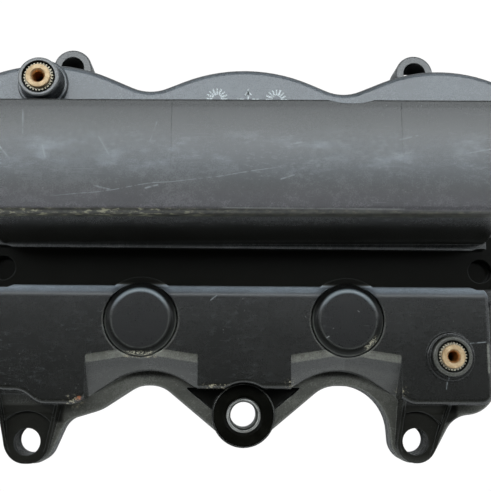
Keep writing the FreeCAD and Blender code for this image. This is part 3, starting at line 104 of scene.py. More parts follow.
class Graph:
    """A short way to write a material's node tree. Lengths are in millimetres."""

    def __init__(self, name):
        self.material = bpy.data.materials.new(name)
        self.material.use_nodes = True
        self.tree = self.material.node_tree
        self.tree.nodes.clear()
        self.out = self.tree.nodes.new("ShaderNodeOutputMaterial")
        self.shader = self.tree.nodes.new("ShaderNodeBsdfPrincipled")
        self.link(self.shader.outputs[0], self.out.inputs[0])
        place = self.node("ShaderNodeNewGeometry")
        scaled = self.node("ShaderNodeVectorMath", operation="SCALE")
        self.link(place.outputs["Position"], scaled.inputs[0])
        scaled.inputs["Scale"].default_value = 1 / MM
        self.point, self.true_normal = scaled.outputs[0], place.outputs["Normal"]
        self.x, self.y, self.z = self.split(self.point)
        self.nz = self.split(self.true_normal)[2]

    def link(self, a, b):
        self.tree.links.new(a, b)

    def put(self, socket, value):
        if isinstance(value, bpy.types.NodeSocket):
            self.link(value, socket)
        else:
            socket.default_value = value

    def node(self, kind, **values):
        made = self.tree.nodes.new(kind)
        for key, value in values.items():
            setattr(made, key, value)
        return made

    def split(self, vector):
        made = self.node("ShaderNodeSeparateXYZ")
        self.link(vector, made.inputs[0])
        return made.outputs

    def math(self, operation, a, b=0.0):
        made = self.node("ShaderNodeMath", operation=operation)
        self.put(made.inputs[0], a)
        self.put(made.inputs[1], b)
        return made.outputs[0]

    def add(self, a, b):
        return self.math("ADD", a, b)

    def times(self, *factors):
        result = factors[0]
        for factor in factors[1:]:
            result = self.math("MULTIPLY", result, factor)
        return result

    def less(self, value):
        """One minus a value."""
        return self.math("SUBTRACT", 1.0, value)

    def most(self, *values):
        result = values[0]
        for item in values[1:]:
            result = self.math("MAXIMUM", result, item)
        return result

    def span(self, value, low, high, to_low=0.0, to_high=1.0, smooth=True):
        made = self.node("ShaderNodeMapRange", interpolation_type="SMOOTHSTEP" if smooth else "LINEAR")
        for index, item in enumerate((value, low, high, to_low, to_high)):
            self.put(made.inputs[index], item)
        return made.outputs[0]

    def between(self, value, low, high, soft=0.5):
        """One inside a range of a value, nothing outside it, with soft ends."""
        up = self.span(value, low - soft, low + soft)
        return self.times(up, self.less(self.span(value, high - soft, high + soft)))

    def mix(self, factor, a, b, blend="MIX"):
        made = self.node("ShaderNodeMix", data_type="RGBA", blend_type=blend)
        for index, item in ((0, factor), (6, a), (7, b)):
            self.put(made.inputs[index], (*item, 1) if isinstance(item, tuple) and len(item) == 3 else item)
        return made.outputs[2]

    def grey(self, value, tint=(1, 1, 1)):
        """A colour as bright as a value, with a tint."""
        made = self.node("ShaderNodeVectorMath", operation="SCALE")
        made.inputs[0].default_value = tint
        self.put(made.inputs["Scale"], value)
        return made.outputs[0]

    def mapped(self, stretch, turn, shift=(0, 0, 0)):
        made = self.node("ShaderNodeMapping")
        self.link(self.point, made.inputs[0])
        made.inputs["Location"].default_value = shift
        made.inputs["Scale"].default_value = stretch
        made.inputs["Rotation"].default_value = (0, 0, math.radians(turn))
        return made.outputs[0]

    def noise(self, size, detail=3.0, rough=0.5, stretch=(1, 1, 1), turn=0.0, shift=(0, 0, 0)):
        """Noise whose lumps are about size millimetres across."""
        made = self.node("ShaderNodeTexNoise")
        self.link(self.mapped(stretch, turn, shift), made.inputs["Vector"])
        made.inputs["Scale"].default_value = 1 / size
        made.inputs["Detail"].default_value = detail
        made.inputs["Roughness"].default_value = rough
        return made.outputs["Fac"]

    def streaks(self, turn, length, width, share, shift=0.0):
        """Fine scratches along one direction; share is how much of the surface they take."""
        fine = self.noise(width, 1.0, 0.3, (width / length, 1, 1), turn, (shift, shift, 0))
        patch = self.noise(length * 1.6, 2.0, 0.5, shift=(shift * 3, 0, 0))
        return self.times(self.span(fine, 1 - share - 0.26, 1 - share - 0.2), self.span(patch, 0.48, 0.62))

    def near(self, x, y, radius, soft=0.6):
        """One inside an upright cylinder, nothing outside it."""
        dx, dy = self.math("SUBTRACT", self.x, x), self.math("SUBTRACT", self.y, y)
        away = self.math("SQRT", self.add(self.times(dx, dx), self.times(dy, dy)))
        return self.less(self.span(away, radius - soft, radius + soft))

    def lines(self, scratches):
        """Scratches between points in plan, each with its own width, wandering a little and broken up."""
        wander = self.math("SUBTRACT", self.noise(26, 1.0), 0.5)
        total = 0.0
        for (x0, y0), (x1, y1), width in scratches:
            length = math.hypot(x1 - x0, y1 - y0)
            ux, uy = (x1 - x0) / length, (y1 - y0) / length
            dx, dy = self.math("SUBTRACT", self.x, x0), self.math("SUBTRACT", self.y, y0)
            along = self.add(self.times(dx, ux), self.times(dy, uy))
            across = self.math("SUBTRACT", self.times(dy, ux), self.times(dx, uy))
            across = self.math("ABSOLUTE", self.add(across, self.times(wander, min(length, 30) * 0.08)))
            off = self.math("ABSOLUTE", self.math("SUBTRACT", along, length / 2))
            mark = self.times(self.less(self.span(across, width * 0.3, width)),
                              self.less(self.span(off, length * 0.4, length * 0.5)))
            total = self.math("MAXIMUM", total, mark)
        return self.times(total, self.span(self.noise(2.4, 3.0), 0.32, 0.55))

    def rounded(self, radius):
        """A normal that is rounded at edges, and how far it departs from the true one."""
        bevel = self.node("ShaderNodeBevel", samples=6)
        bevel.inputs["Radius"].default_value = radius * MM
        facing = self.node("ShaderNodeVectorMath", operation="DOT_PRODUCT")
        self.link(bevel.outputs[0], facing.inputs[0])
        self.link(self.true_normal, facing.inputs[1])
        return bevel.outputs[0], self.less(facing.outputs["Value"])

    def bump(self, height, strength, distance, normal=None):
        made = self.node("ShaderNodeBump")
        made.inputs["Strength"].default_value = strength
        made.inputs["Distance"].default_value = distance * MM
        self.put(made.inputs["Height"], height)
        if normal is not None:
            self.link(normal, made.inputs["Normal"])
        return made.outputs[0]

    def finish(self, colour, rough, metal=0.0, normal=None, specular=0.5):
        for name, item in (("Base Color", colour), ("Roughness", rough), ("Metallic", metal),
                           ("Specular IOR Level", specular)):
            self.put(self.shader.inputs[name], item)
        if normal is not None:
            self.link(normal, self.shader.inputs["Normal"])
        return self.material


def plain_look(name, colour, rough, metal=0.0, cloud_size=9.0, grain_size=0.6, edge=0.25,
               stain=(0.4, 0.36, 0.3), stain_share=0.15):
    """A worn material for the smaller pieces: clouds, grain, stains and lighter edges."""
    g = Graph(name)
    cloud, fine = g.noise(cloud_size, 4.0, 0.6), g.noise(grain_size, 2.0)
    dark = tuple(c * 0.72 for c in colour)
    light = tuple(min(c * 1.22, 1) for c in colour)
    base = g.mix(g.span(cloud, 0.3, 0.7), dark, light)
    stained = g.span(g.noise(cloud_size * 0.5, 5.0, 0.7, shift=(11, 3, 5)), 0.72 - stain_share, 0.8)
    base = g.mix(g.times(stained, 0.6), base, tuple(c * s * 1.6 for c, s in zip(colour, stain)))
    normal, bent = g.rounded(0.25)
    worn = g.times(g.span(bent, 0.02, 0.3), edge)
    base = g.mix(worn, base, tuple(min(c * 1.8 + 0.02, 1) for c in colour))
    scratch = g.streaks(25, 14, 0.16, 0.05)
    base = g.mix(g.times(scratch, 0.4), base, light)
    roughness = g.add(g.span(fine, 0.3, 0.7, rough * 0.85, rough * 1.15), g.times(stained, 0.1))
    height = g.add(g.times(fine, 0.7), g.times(scratch, -0.5))
    return g.finish(base, roughness, metal, g.bump(height, 0.2, 0.05, normal))


# ---------------------------------------------------------------- the worn moulded plastic

# Each scratch has its two ends in plan and its width.
SCRATCHES = [
    ((-76, 12), (14, 25), 0.2), ((-86.8, 47), (-86.2, 36.5), 0.4), ((-78.6, 33), (-77.2, 27.4), 0.45),
    ((-57.8, 36.8), (-53, 28.6), 0.42), ((-94.8, 32), (-90.5, 26.8), 0.4), ((-59, 17.2), (-52, 15.4), 0.45),
    ((-39.5, 16), (-34, 17.5), 0.4), ((-35, 43), (-38, 34), 0.25), ((58, 36), (66, 38), 0.35),
    ((16, 34), (22, 35), 0.5), ((12, 20), (18, 22), 0.35), ((84, 31), (95, 33), 0.3),
    ((-14.5, -23.4), (-11.4, -21), 0.35), ((92, -41), (102, -40), 0.3), ((84, -60), (85, -54), 0.25)]


def from_plug(g):
    """How far a point is from the nearer plug's axis, and how far north of it."""
    dx = g.math("SUBTRACT", g.math("ABSOLUTE", g.x), PLUG_X)
    dy = g.math("SUBTRACT", g.y, PLUG_Y)
    return g.math("SQRT", g.add(g.times(dx, dx), g.times(dy, dy))), dy


def shell_regions(g):
    """Masks of the shell's parts: the worn tops, the rounded edges that get painted highlights, and the
    recesses kept dark, partly as dust-free plastic and partly as painted shade.
    """
    at = SimpleNamespace()
    at.up = g.span(g.nz, 0.2, 0.75)
    at.barrel = g.times(g.span(g.z, 51, 54.5), g.span(g.nz, 0.3, 0.8))
    at.lip = g.times(g.between(g.y, 4.8, 8.6, 0.4), g.span(g.z, 50.5, 52.5),
                     g.less(g.span(g.nz, 0.94, 0.985)))
    at.plate = g.times(g.between(g.z, 36.5, 41.5, 0.8), g.span(g.y, 44, 50))
    at.deck = g.times(g.between(g.z, 17.0, 27.5, 1.0), g.less(g.span(g.y, -18.5, -14.5)))
    # The deck's north rounding, where a highlight is painted into the film.
    at.roll = g.times(g.between(g.y, -21.8, -16.0, 0.3), g.between(g.z, 16.0, 21.25, 0.3))
    # Kept dark: the trough's floor and sides, with the plug collars standing in it, as dust-free plastic and
    # painted shade; the barrel's south wall, darker towards its foot; the lugs and the centre bolt seat as
    # dust-free plastic; the front pockets and the pockets round the inserts as painted shade.
    floor_part = g.times(g.between(g.y, -17.5, 6.0, 0.6), g.less(g.span(g.z, 14.6, 15.6)))
    side_part = g.times(g.between(g.y, -16.6, 0.0, 0.2), g.less(g.span(g.z, 20.0, 21.0)),
                        g.less(g.between(g.y, -1.5, 0.2, 0.1)))
    wall = g.times(g.between(g.y, -3, 7.5, 0.4), g.less(g.span(g.nz, 0.1, 0.45)),
                   g.less(g.span(g.z, 15, 50, 0.25, 1.0)))
    lug_seats = g.times(g.most(g.near(-89.6, -78.0, 14.5, 1.5), g.near(73.6, -77.0, 11.5, 1.2)),
                        g.between(g.z, 10.0, 19.5, 0.5), g.less(g.span(g.y, -67.5, -65.5)))
    lug_webs = g.times(g.most(g.between(g.x, -99, -76, 1), g.between(g.x, 67, 92, 1)),
                       g.between(g.y, -74, -66.5, 0.6), g.less(g.span(g.z, 18.2, 19.2)))
    at.lugs = g.most(lug_seats, lug_webs)
    at.pockets = g.times(g.between(g.x, -30, 30, 1), g.less(g.span(g.y, -59.5, -58.5)),
                         g.less(g.span(g.z, 6.5, 8.0)))
    seat = g.times(g.near(0, -70.9, 13.9, 0.2), g.span(g.z, 9, 12))
    rear_lugs = g.times(g.span(g.y, 73, 76), g.less(g.span(g.z, 20, 30)))
    at.lug_tops = g.times(rear_lugs, g.span(g.z, 12.5, 13.4))
    deep = g.most(g.times(g.near(*INSERT_REAR, 6.65, 0.15), g.span(g.z, 40, 46)),
                  g.times(g.near(*INSERT_FRONT, 6.65, 0.15), g.span(g.z, 20, 24)))
    clean = g.most(floor_part, side_part, wall, g.times(at.lugs, 0.6), g.times(at.pockets, 0.7), deep,
                   g.times(rear_lugs, g.less(at.lug_tops), 0.6), g.times(seat, 0.3))
    at.clean = g.math("MINIMUM", clean, 1.0)
    return at


def shell_noises(g, at):
    """The noises that the shell's film, marks and bump share."""
    at.patch = g.noise(7, 5.0, 0.7, (0.6, 1, 1), 8, (9, 4, 1))
    at.mottle = g.noise(2.4, 4.0, 0.7)
    at.grain = g.noise(0.55, 3.0, 0.7)
    cloud = g.span(g.noise(38, 3.0, 0.5), 0.3, 0.7, 0.88, 1.1)
    film = g.add(cloud, g.span(at.patch, 0.3, 0.7, -0.1, 0.12))
    fine = g.times(g.span(at.mottle, 0.25, 0.75, 0.92, 1.08), g.span(at.grain, 0.25, 0.75, 0.82, 1.2))
    at.film = g.times(film, fine)


def shell_film(g, at):
    """How much grey film lies on each part of the shell: wear and dust, with painted highlights on rounded
    edges, rims and boss tops, painted shadow north of the plugs, and less film in the recesses, which are
    dust-free plastic and painted shade.
    """
    amount = g.times(at.barrel, g.span(g.y, 8, 50, 0.078, 0.012, False))
    amount = g.add(amount, g.times(at.plate, g.span(g.nz, 0.82, 0.99, 0.03, 0.115)))
    amount = g.add(amount, g.times(at.deck, 0.0035))
    # Painted highlight: film on the deck's north rounding, growing towards its north edge.
    amount = g.add(amount, g.times(at.roll, g.span(g.y, -22.5, -16.7, 0.0, 0.27, False)))
    amount = g.add(amount, g.times(at.lug_tops, 0.07))
    # Painted highlight: a thin lighter line along the rounded foot of the barrel's south wall.
    painted_ledge_highlight = g.times(g.between(g.y, -0.75, 0.6, 0.1), g.between(g.z, 15.9, 17.1, 0.1))
    amount = g.add(amount, g.times(painted_ledge_highlight, 0.07))
    slope = g.times(g.between(g.y, -66.5, -41, 0.5), g.between(g.nz, 0.72, 0.985, 0.02),
                    g.between(g.z, 6, 21.28, 0.1))
    amount = g.add(amount, g.times(slope, 0.012))
    # Painted highlight: a lighter band on the rounded top edges of the ramps below the plugs.
    painted_shoulder_highlight = g.times(g.between(g.y, -53, -41, 0.5), g.between(g.nz, 0.84, 0.998, 0.02),
                       g.between(g.z, 17, 21.29, 0.01))
    amount = g.add(amount, g.times(painted_shoulder_highlight, 0.11))
    apron = g.times(g.between(g.z, 4.5, 9.6, 0.3), g.less(g.span(g.y, -57, -53)),
                    g.less(g.most(at.pockets, at.lugs)), g.span(g.nz, 0.3, 0.95, 1.25, 0.85))
    amount = g.add(amount, g.times(apron, 0.065))
    away, dy = from_plug(g)
    north = g.times(dy, 1 / WELL_RADIUS)
    # Painted highlight: a thin lighter ring on the rounded rim of each plug's well, except on its north
    # side.
    ring = g.times(at.deck, g.between(away, 15.5, 16.2, 0.2), g.less(g.span(north, 0.0, 0.7)))
    amount = g.add(amount, g.times(ring, 0.035))
    # Painted highlight: lighter rings on the tops of the insert boss tops.
    painted_boss_highlight = g.most(g.times(g.near(*INSERT_REAR, 9, 0.4), g.span(g.z, 46.5, 47.5)),
                    g.times(g.near(*INSERT_FRONT, 9, 0.4), g.span(g.z, 24.2, 24.8), 0.5))
    amount = g.add(amount, g.times(painted_boss_highlight, 0.13))
    smear = g.span(g.noise(7, 5.0, 0.7, (0.35, 1, 1), 6, (4, 2, 6)), 0.48, 0.72)
    amount = g.add(amount, g.times(g.between(g.y, 24, 38, 4), at.barrel, smear, 0.11))
    high_wall = g.times(g.between(g.y, 1.5, 8.5, 0.5), g.span(g.z, 36, 53), g.less(g.span(g.nz, 0.3, 0.6)))
    amount = g.add(amount, g.times(high_wall, 0.1))
    amount = g.add(amount, g.times(g.less(g.most(at.barrel, at.plate, at.deck)), 0.02))
    # Painted shadow: the film is darkened on the deck just north of each plug.
    shade = g.times(g.less(g.span(away, 15.6, 18.5)), g.span(north, 0.45, 0.95))
    return g.times(amount, at.film, g.span(at.up, 0, 1, 0.5, 1.0), g.less(g.times(at.clean, 0.9)),
                   g.less(g.times(shade, 0.8)))


def shell_tint(g, at):
    """The film's tint: bluish on the plate and the barrel's middle, warm on the deck and in the recesses."""
    middle = g.between(g.y, 21, 38, 6)
    # On the deck's north rounding this bluish tint colours its painted highlight.
    tint = g.mix(g.most(middle, at.plate, at.roll), (0.97, 0.99, 1.0), (0.88, 1.0, 1.12))
    tint = g.mix(g.times(at.barrel, g.span(g.y, 36, 44)), tint, (0.94, 1.02, 0.96))
    tint = g.mix(g.times(at.barrel, g.less(g.span(g.y, 12, 20))), tint, (1.0, 0.97, 1.03))
    tint = g.mix(g.less(g.span(g.y, -26, -23)), tint, (1.0, 1.0, 0.86))
    return g.mix(at.clean, tint, (1.0, 0.98, 0.8))


def shell_marks(g, at):
    """Scuffs, dents and single scratches, most of them along the middle of the barrel."""
    scuffs = g.most(g.streaks(12, 18, 0.22, 0.03), g.streaks(-38, 11, 0.18, 0.03, 5.0),
                    g.streaks(80, 9, 0.2, 0.025, 9.0), g.streaks(55, 7, 0.25, 0.03, 14.0))
    band = g.times(at.barrel, g.between(g.y, 22, 39, 5))
    dents = g.times(g.span(g.noise(1.5, 5.0, 0.75, (0.4, 1, 1), 14, (3, 8, 0)), 0.5, 0.74),
                    g.span(g.noise(15, 3.0, 0.6, (0.5, 1, 1), 0, (5, 5, 0)), 0.4, 0.62),
                    g.most(band, g.times(at.deck, 0.15)))
    scuffs = g.times(scuffs, g.span(band, 0, 1, 0.12, 0.8))
    return g.times(g.most(scuffs, dents, g.lines(SCRATCHES)), g.less(at.clean), at.up)


def shell_dust(g, at, colour, bent):
    """Pale specks, the crusted lip of the barrel, worn edges, chalky spots and one chip."""
    specks = g.span(g.noise(0.8, 2.0, 0.5, shift=(2, 7, 1)), 0.70, 0.76)
    specks = g.times(specks, g.span(g.noise(20, 2.0, shift=(8, 1, 3)), 0.45, 0.6), at.up, g.less(at.clean))
    colour = g.mix(g.times(specks, 0.5), colour, (0.3, 0.31, 0.29))
    west = g.span(g.x, -12, -34, 0.25, 1.0)
    crust = g.span(g.noise(1.3, 4.0, 0.7, (0.45, 1, 1), 0, (6, 2, 4)), 0.52, 0.62)
    dirt = g.grey(g.span(at.mottle, 0.3, 0.7, 0.004, 0.05), (1.0, 0.98, 0.72))
    colour = g.mix(g.times(at.lip, 0.85), colour, dirt)
    colour = g.mix(g.times(at.lip, crust, west, 0.75), colour, (0.30, 0.29, 0.20))
    pad_edge = g.times(g.between(g.y, 8.8, 9.2, 0.15), g.between(g.x, -10, 59.6, 1.5), g.span(g.z, 54, 55))
    colour = g.mix(g.times(pad_edge, g.span(at.patch, 0.25, 0.6), 0.4), colour, (0.33, 0.34, 0.32))
    worn = g.times(g.span(bent, 0.03, 0.25), g.less(g.times(at.clean, 0.6)),
                   g.span(at.mottle, 0.25, 0.6, 0.5, 1.0), at.up)
    colour = g.mix(g.times(worn, 0.4), colour, (0.17, 0.185, 0.175))
    chalk = g.span(g.noise(1.1, 4.0, 0.7, shift=(1, 1, 9)), 0.5, 0.62)
    beside_boss = g.times(g.between(g.x, -16.5, -6.5, 1.5), g.between(g.y, -60.6, -57.6, 0.5))
    under_plug = g.times(g.near(-43, -46.2, 6.5, 2.0), g.span(g.y, -47.4, -46.9))
    spots = g.most(beside_boss, under_plug, g.near(19.2, -57.5, 2.0, 1.2), g.near(-70.5, -65.2, 2.8, 1.2),
                   g.near(66.3, -60.5, 1.6, 0.8))
    colour = g.mix(g.times(spots, chalk, at.up, 0.8), colour, (0.42, 0.38, 0.27))
    chip = g.times(g.near(-67.6, -63.6, 1.1, 0.5), g.span(g.noise(0.7, 3.0), 0.45, 0.6), at.up, 0.8)
    return g.mix(chip, colour, (0.42, 0.15, 0.07))


def shell_look():
    """Black glass-filled nylon under a grey film of wear and dust, with painted highlights and shadow, kept
    dark in its recesses by dust-free plastic and painted shade.
    """
    g = Graph("moulded_plastic_look")
    normal, bent = g.rounded(0.45)
    at = shell_regions(g)
    shell_noises(g, at)
    colour = g.mix(1.0, g.grey(shell_film(g, at)), shell_tint(g, at), "MULTIPLY")
    colour = g.mix(1.0, colour, (0.0028, 0.0028, 0.0021), "ADD")
    marks = shell_marks(g, at)
    colour = g.mix(g.times(marks, 0.55), colour, (0.30, 0.33, 0.34))
    colour = shell_dust(g, at, colour, bent)

    rough = g.add(g.span(at.film, 0.7, 1.3, 0.255, 0.285), g.times(marks, 0.12))
    # The deck's north rounding is made rougher here and less specular below, as its highlight is painted.
    rough = g.add(rough, g.times(at.roll, 0.12))
    rough = g.add(g.times(rough, g.less(g.times(at.clean, 0.3))), g.times(at.lip, 0.15))
    rough = g.math("MAXIMUM", rough, 0.17)
    inside = g.less(g.span(g.nz, -0.4, 0.1))
    dull = g.math("MINIMUM", g.add(g.add(at.clean, inside), g.times(at.roll, 0.6)), 1.0)
    specular = g.add(0.5, g.times(dull, -0.42))
    height = g.add(g.times(at.grain, 0.5), g.times(at.mottle, 0.9))
    ripple = g.noise(60, 2.0, 0.4, (0.3, 1, 1))
    bumped = g.bump(height, 0.22, 0.05, g.bump(ripple, 0.35, 1.2, normal))
    return g.finish(colour, rough, 0.0, bumped, specular)


def plug_look():
    """The plugs' plastic: a scuffed flat top, painted highlights on its rounded rim and chalky dust on the
    rim's south side.
    """
    g = Graph("plug_plastic_look")
    normal = g.rounded(0.4)[0]
    up = g.span(g.nz, 0.1, 0.6)
    cloud, mottle, grain = g.noise(16, 5.0, 0.6), g.noise(2.6, 4.0, 0.7), g.noise(0.5, 3.0, 0.7)
    film = g.times(g.span(cloud, 0.3, 0.7, 0.92, 1.08), g.span(mottle, 0.25, 0.75, 0.92, 1.08),
                   g.span(grain, 0.25, 0.75, 0.82, 1.18))
    colour = g.grey(g.times(film, g.span(up, 0, 1, 0.003, 0.006)), (1.0, 1.0, 0.95))

    rim = g.times(g.less(g.span(g.nz, 0.93, 0.995)), up)
    away, dy = from_plug(g)
    north = g.math("DIVIDE", dy, g.math("MAXIMUM", away, 1.0))
    # Painted highlight: a bluish arc on the north part of the plug's rounded top edge.
    painted_north_highlight = g.times(g.between(away, 11.3, 12.9, 0.45), g.span(north, 0.25, 0.9))
    # Painted highlights: a light band on the south part of the rounded edge, and a fainter one inside it.
    outer = g.times(g.between(away, 14.4, 15.1, 0.2), g.less(g.span(north, -0.2, 0.6)),
                    g.span(mottle, 0.25, 0.6, 0.5, 1.0))
    inner = g.times(g.between(away, 11.5, 12.1, 0.2), g.less(g.span(north, 0.1, 0.5)),
                    g.span(mottle, 0.3, 0.6, 0.3, 1.0))
    # Painted highlight: the rim is lighter towards its south side.
    colour = g.mix(g.times(rim, g.span(north, -0.3, 0.6, 0.8, 0.0)), colour, (0.012, 0.0125, 0.011))
    colour = g.mix(g.times(painted_north_highlight, 0.6), colour, (0.2, 0.245, 0.27))
    colour = g.mix(g.times(g.most(outer, g.times(inner, 0.5)), up, 0.6), colour, (0.13, 0.135, 0.12))

    scratches = g.lines([((35.8, -35.6), (37.2, -34.6), 0.3), ((33.8, -38.8), (35.2, -38), 0.3),
                         ((47, -27.2), (48, -28), 0.25)])
    scuffs = g.most(g.times(g.streaks(20, 8, 0.2, 0.04, 2.0), 0.3),
                    g.times(g.streaks(-50, 6, 0.2, 0.03, 6.0), 0.3), scratches)
    colour = g.mix(g.times(scuffs, up, 0.6), colour, (0.3, 0.31, 0.3))
    chalk = g.span(g.noise(0.9, 4.0, 0.7, shift=(3, 3, 3)), 0.47, 0.58)
    south_rim = g.times(g.near(-PLUG_X, -45.2, 7.5, 2.0), g.less(g.span(g.y, -45, -44)))
    place = g.most(g.near(53.5, -41.5, 3.4, 1.2), south_rim)
    colour = g.mix(g.times(chalk, place, rim, 0.9), colour, (0.40, 0.38, 0.29))
    rough = g.add(g.span(film, 0.6, 1.3, 0.26, 0.3), g.times(scuffs, 0.15))
    bumped = g.bump(g.add(g.times(grain, 0.5), g.times(mottle, 0.6)), 0.22, 0.05, normal)
    return g.finish(colour, rough, 0.0, bumped, g.span(rim, 0, 1, 0.45, 0.1))


def brass_look():
    """Machined brass, dull on its face, dark in the knurl, with painted shade darkening it low in the bore.
    """
    g = Graph("insert_brass_look")
    normal = g.rounded(0.15)[0]
    front = g.less(g.span(g.y, 0, 1))
    top = g.span(front, 0, 1, INSERT_REAR_TOP, INSERT_FRONT_TOP)
    down = g.math("SUBTRACT", top, g.z)
    cloud, fine = g.noise(2.2, 4.0, 0.6), g.noise(0.35, 3.0, 0.6)
    face = g.mix(g.span(cloud, 0.35, 0.65), (0.40, 0.27, 0.14), (0.56, 0.42, 0.25))
    face = g.mix(g.times(g.span(fine, 0.55, 0.7), 0.4), face, (0.3, 0.17, 0.07))
    colour = g.mix(g.span(down, 0.2, 1.6), face, (0.62, 0.27, 0.07))
    # Painted shade: the brass darkens deep in the bore.
    colour = g.mix(g.span(down, 5.0, 10.0), colour, (0.06, 0.03, 0.01))
    bore = g.most(g.near(*INSERT_REAR, 3.4, 0.2), g.near(*INSERT_FRONT, 3.4, 0.2))
    knurl = g.times(g.span(down, 0.9, 1.3), g.less(bore))
    colour = g.mix(knurl, colour, g.mix(g.span(fine, 0.4, 0.6), (0.16, 0.14, 0.10), (0.5, 0.46, 0.36)))
    rough = g.span(fine, 0.3, 0.7, 0.34, 0.52)
    metal = g.span(down, 0.3, 1.0, 0.3, 0.8)
    return g.finish(colour, rough, metal, g.bump(fine, 0.25, 0.05, normal), 0.5)


def washer_look():
    """Soft deep-black rubber with a faint sheen and fine dust."""
    g = Graph("washer_rubber_look")
    normal, bent = g.rounded(0.2)
    cloud, fine = g.noise(5, 4.0, 0.6), g.noise(0.4, 2.0)
    colour = g.mix(g.span(cloud, 0.35, 0.7), (0.0022, 0.0022, 0.0014), (0.0045, 0.0045, 0.0032))
    dust = g.times(g.span(g.noise(0.7, 3.0, 0.6, shift=(4, 4, 4)), 0.66, 0.74), 0.25)
    colour = g.mix(dust, colour, (0.12, 0.11, 0.08))
    colour = g.mix(g.times(g.span(bent, 0.03, 0.2), 0.25), colour, (0.06, 0.06, 0.05))
    return g.finish(colour, g.span(fine, 0.3, 0.7, 0.3, 0.42), 0.0, g.bump(fine, 0.2, 0.04, normal), 0.03)


def fleece_look():
    """Felted fibres, stained by oil mist."""
    g = Graph("fleece_look")
    fibres = g.most(g.noise(0.5, 3.0, 0.6, (0.2, 1, 1), 20), g.noise(0.5, 3.0, 0.6, (1, 0.2, 1), 65),
                    g.noise(0.5, 3.0, 0.6, (1, 1, 0.2), 0, (4, 4, 4)))
    oil = g.span(g.noise(9, 4.0, 0.6), 0.45, 0.7)
    colour = g.mix(g.span(fibres, 0.4, 0.75), (0.42, 0.38, 0.3), (0.74, 0.71, 0.62))
    colour = g.mix(g.times(oil, 0.6), colour, (0.24, 0.17, 0.08))
    return g.finish(colour, g.span(oil, 0, 1, 0.95, 0.6), 0.0, g.bump(fibres, 0.8, 0.3))


OIL = (0.6, 0.45, 0.2)
LOOKS = {
    "moulded_plastic": shell_look(),
    "plug_plastic": plug_look(),
    "insert_brass": brass_look(),
    "washer_rubber": washer_look(),
    "fleece": fleece_look(),
    "outlet_plastic": plain_look("outlet_plastic_look", (0.016, 0.016, 0.015), 0.4, edge=0.2),
    "inner_plastic": plain_look("inner_plastic_look", (0.05, 0.042, 0.03), 0.38, cloud_size=14,
                                stain=OIL, stain_share=0.25),
    "valve_plastic": plain_look("valve_plastic_look", (0.58, 0.54, 0.44), 0.42, cloud_size=4,
                                stain=OIL, stain_share=0.2),
    "valve_ball": plain_look("valve_ball_look", (0.74, 0.72, 0.66), 0.25, cloud_size=3, stain=OIL),
    "seal_rubber": plain_look("seal_rubber_look", (0.014, 0.014, 0.015), 0.55, cloud_size=6, edge=0.1),
    "plated_steel": plain_look("plated_steel_look", (0.33, 0.33, 0.31), 0.38, 1.0, 4.0, 0.3,
                               stain=(0.5, 0.42, 0.3)),
    "spring_steel": plain_look("spring_steel_look", (0.42, 0.42, 0.42), 0.3, 1.0, 3.0, 0.25),
}
for part in frame["record"]["subparts"]:
    shown = nodes[part["node"]]
    shown.data.materials.clear()
    shown.data.materials.append(LOOKS[part["material_slot"]])


# ---------------------------------------------------------------- pieces that only the looks have

def mesh_piece(name, made, look):
    """A piece from a bmesh, riding on the cover."""
    data = bpy.data.meshes.new(name)
    made.to_mesh(data)
    made.free()
    obj = bpy.data.objects.new(name, data)
    bpy.context.scene.collection.objects.link(obj)
    data.materials.append(look)
    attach(obj, "cover")
    return obj


def block(made, centre, size, turn=0.0):
    """A box in millimetres, turned about the vertical, added to a bmesh."""
    place = Matrix.Translation(Vector(centre) * MM) @ Matrix.Rotation(math.radians(turn), 4, "Z")
    scale = Matrix.Diagonal((size[0] * MM, size[1] * MM, size[2] * MM, 1))
    bmesh.ops.create_cube(made, size=1.0, matrix=place @ scale)


def mark_look():
    """Bright raised moulding marks, rubbed pale."""
    g = Graph("mould_mark_look")
    fine = g.noise(0.4, 3.0)
    colour = g.mix(g.span(fine, 0.40, 0.54), (0.08, 0.09, 0.09), (0.74, 0.80, 0.82))
    return g.finish(colour, g.span(fine, 0.3, 0.7, 0.35, 0.5), 0.0, g.bump(fine, 0.3, 0.05))


def mould_marks(name, x, y, arrow):
    """A moulder's dial: a ring of plain tick marks on the plate, or an arrow among four of them."""
    made = bmesh.new()
    height = PLATE_TOP + 0.02
    count, inner, outer = 16, 1.6, 4.6
    for i in range(count):
        angle = 360 * i / count
        reach = outer - rng.uniform(0.0, 0.35)
        start = inner + rng.uniform(0.0, 0.3)
        if arrow and i % 4:
            continue
        middle = (start + reach) / 2
        east, north = middle * math.cos(math.radians(angle)), middle * math.sin(math.radians(angle))
        block(made, (x + east, y + north, height), (reach - start, 0.8 if i % 2 else 0.6, 0.22), angle)
    if arrow:
        block(made, (x, y + 0.8, height), (0.7, 4.6, 0.22))
        for side in (-1, 1):
            block(made, (x + side * 0.7, y + 2.5, height), (0.6, 2.0, 0.22), side * 40)
    return mesh_piece(name, made, MARKS)


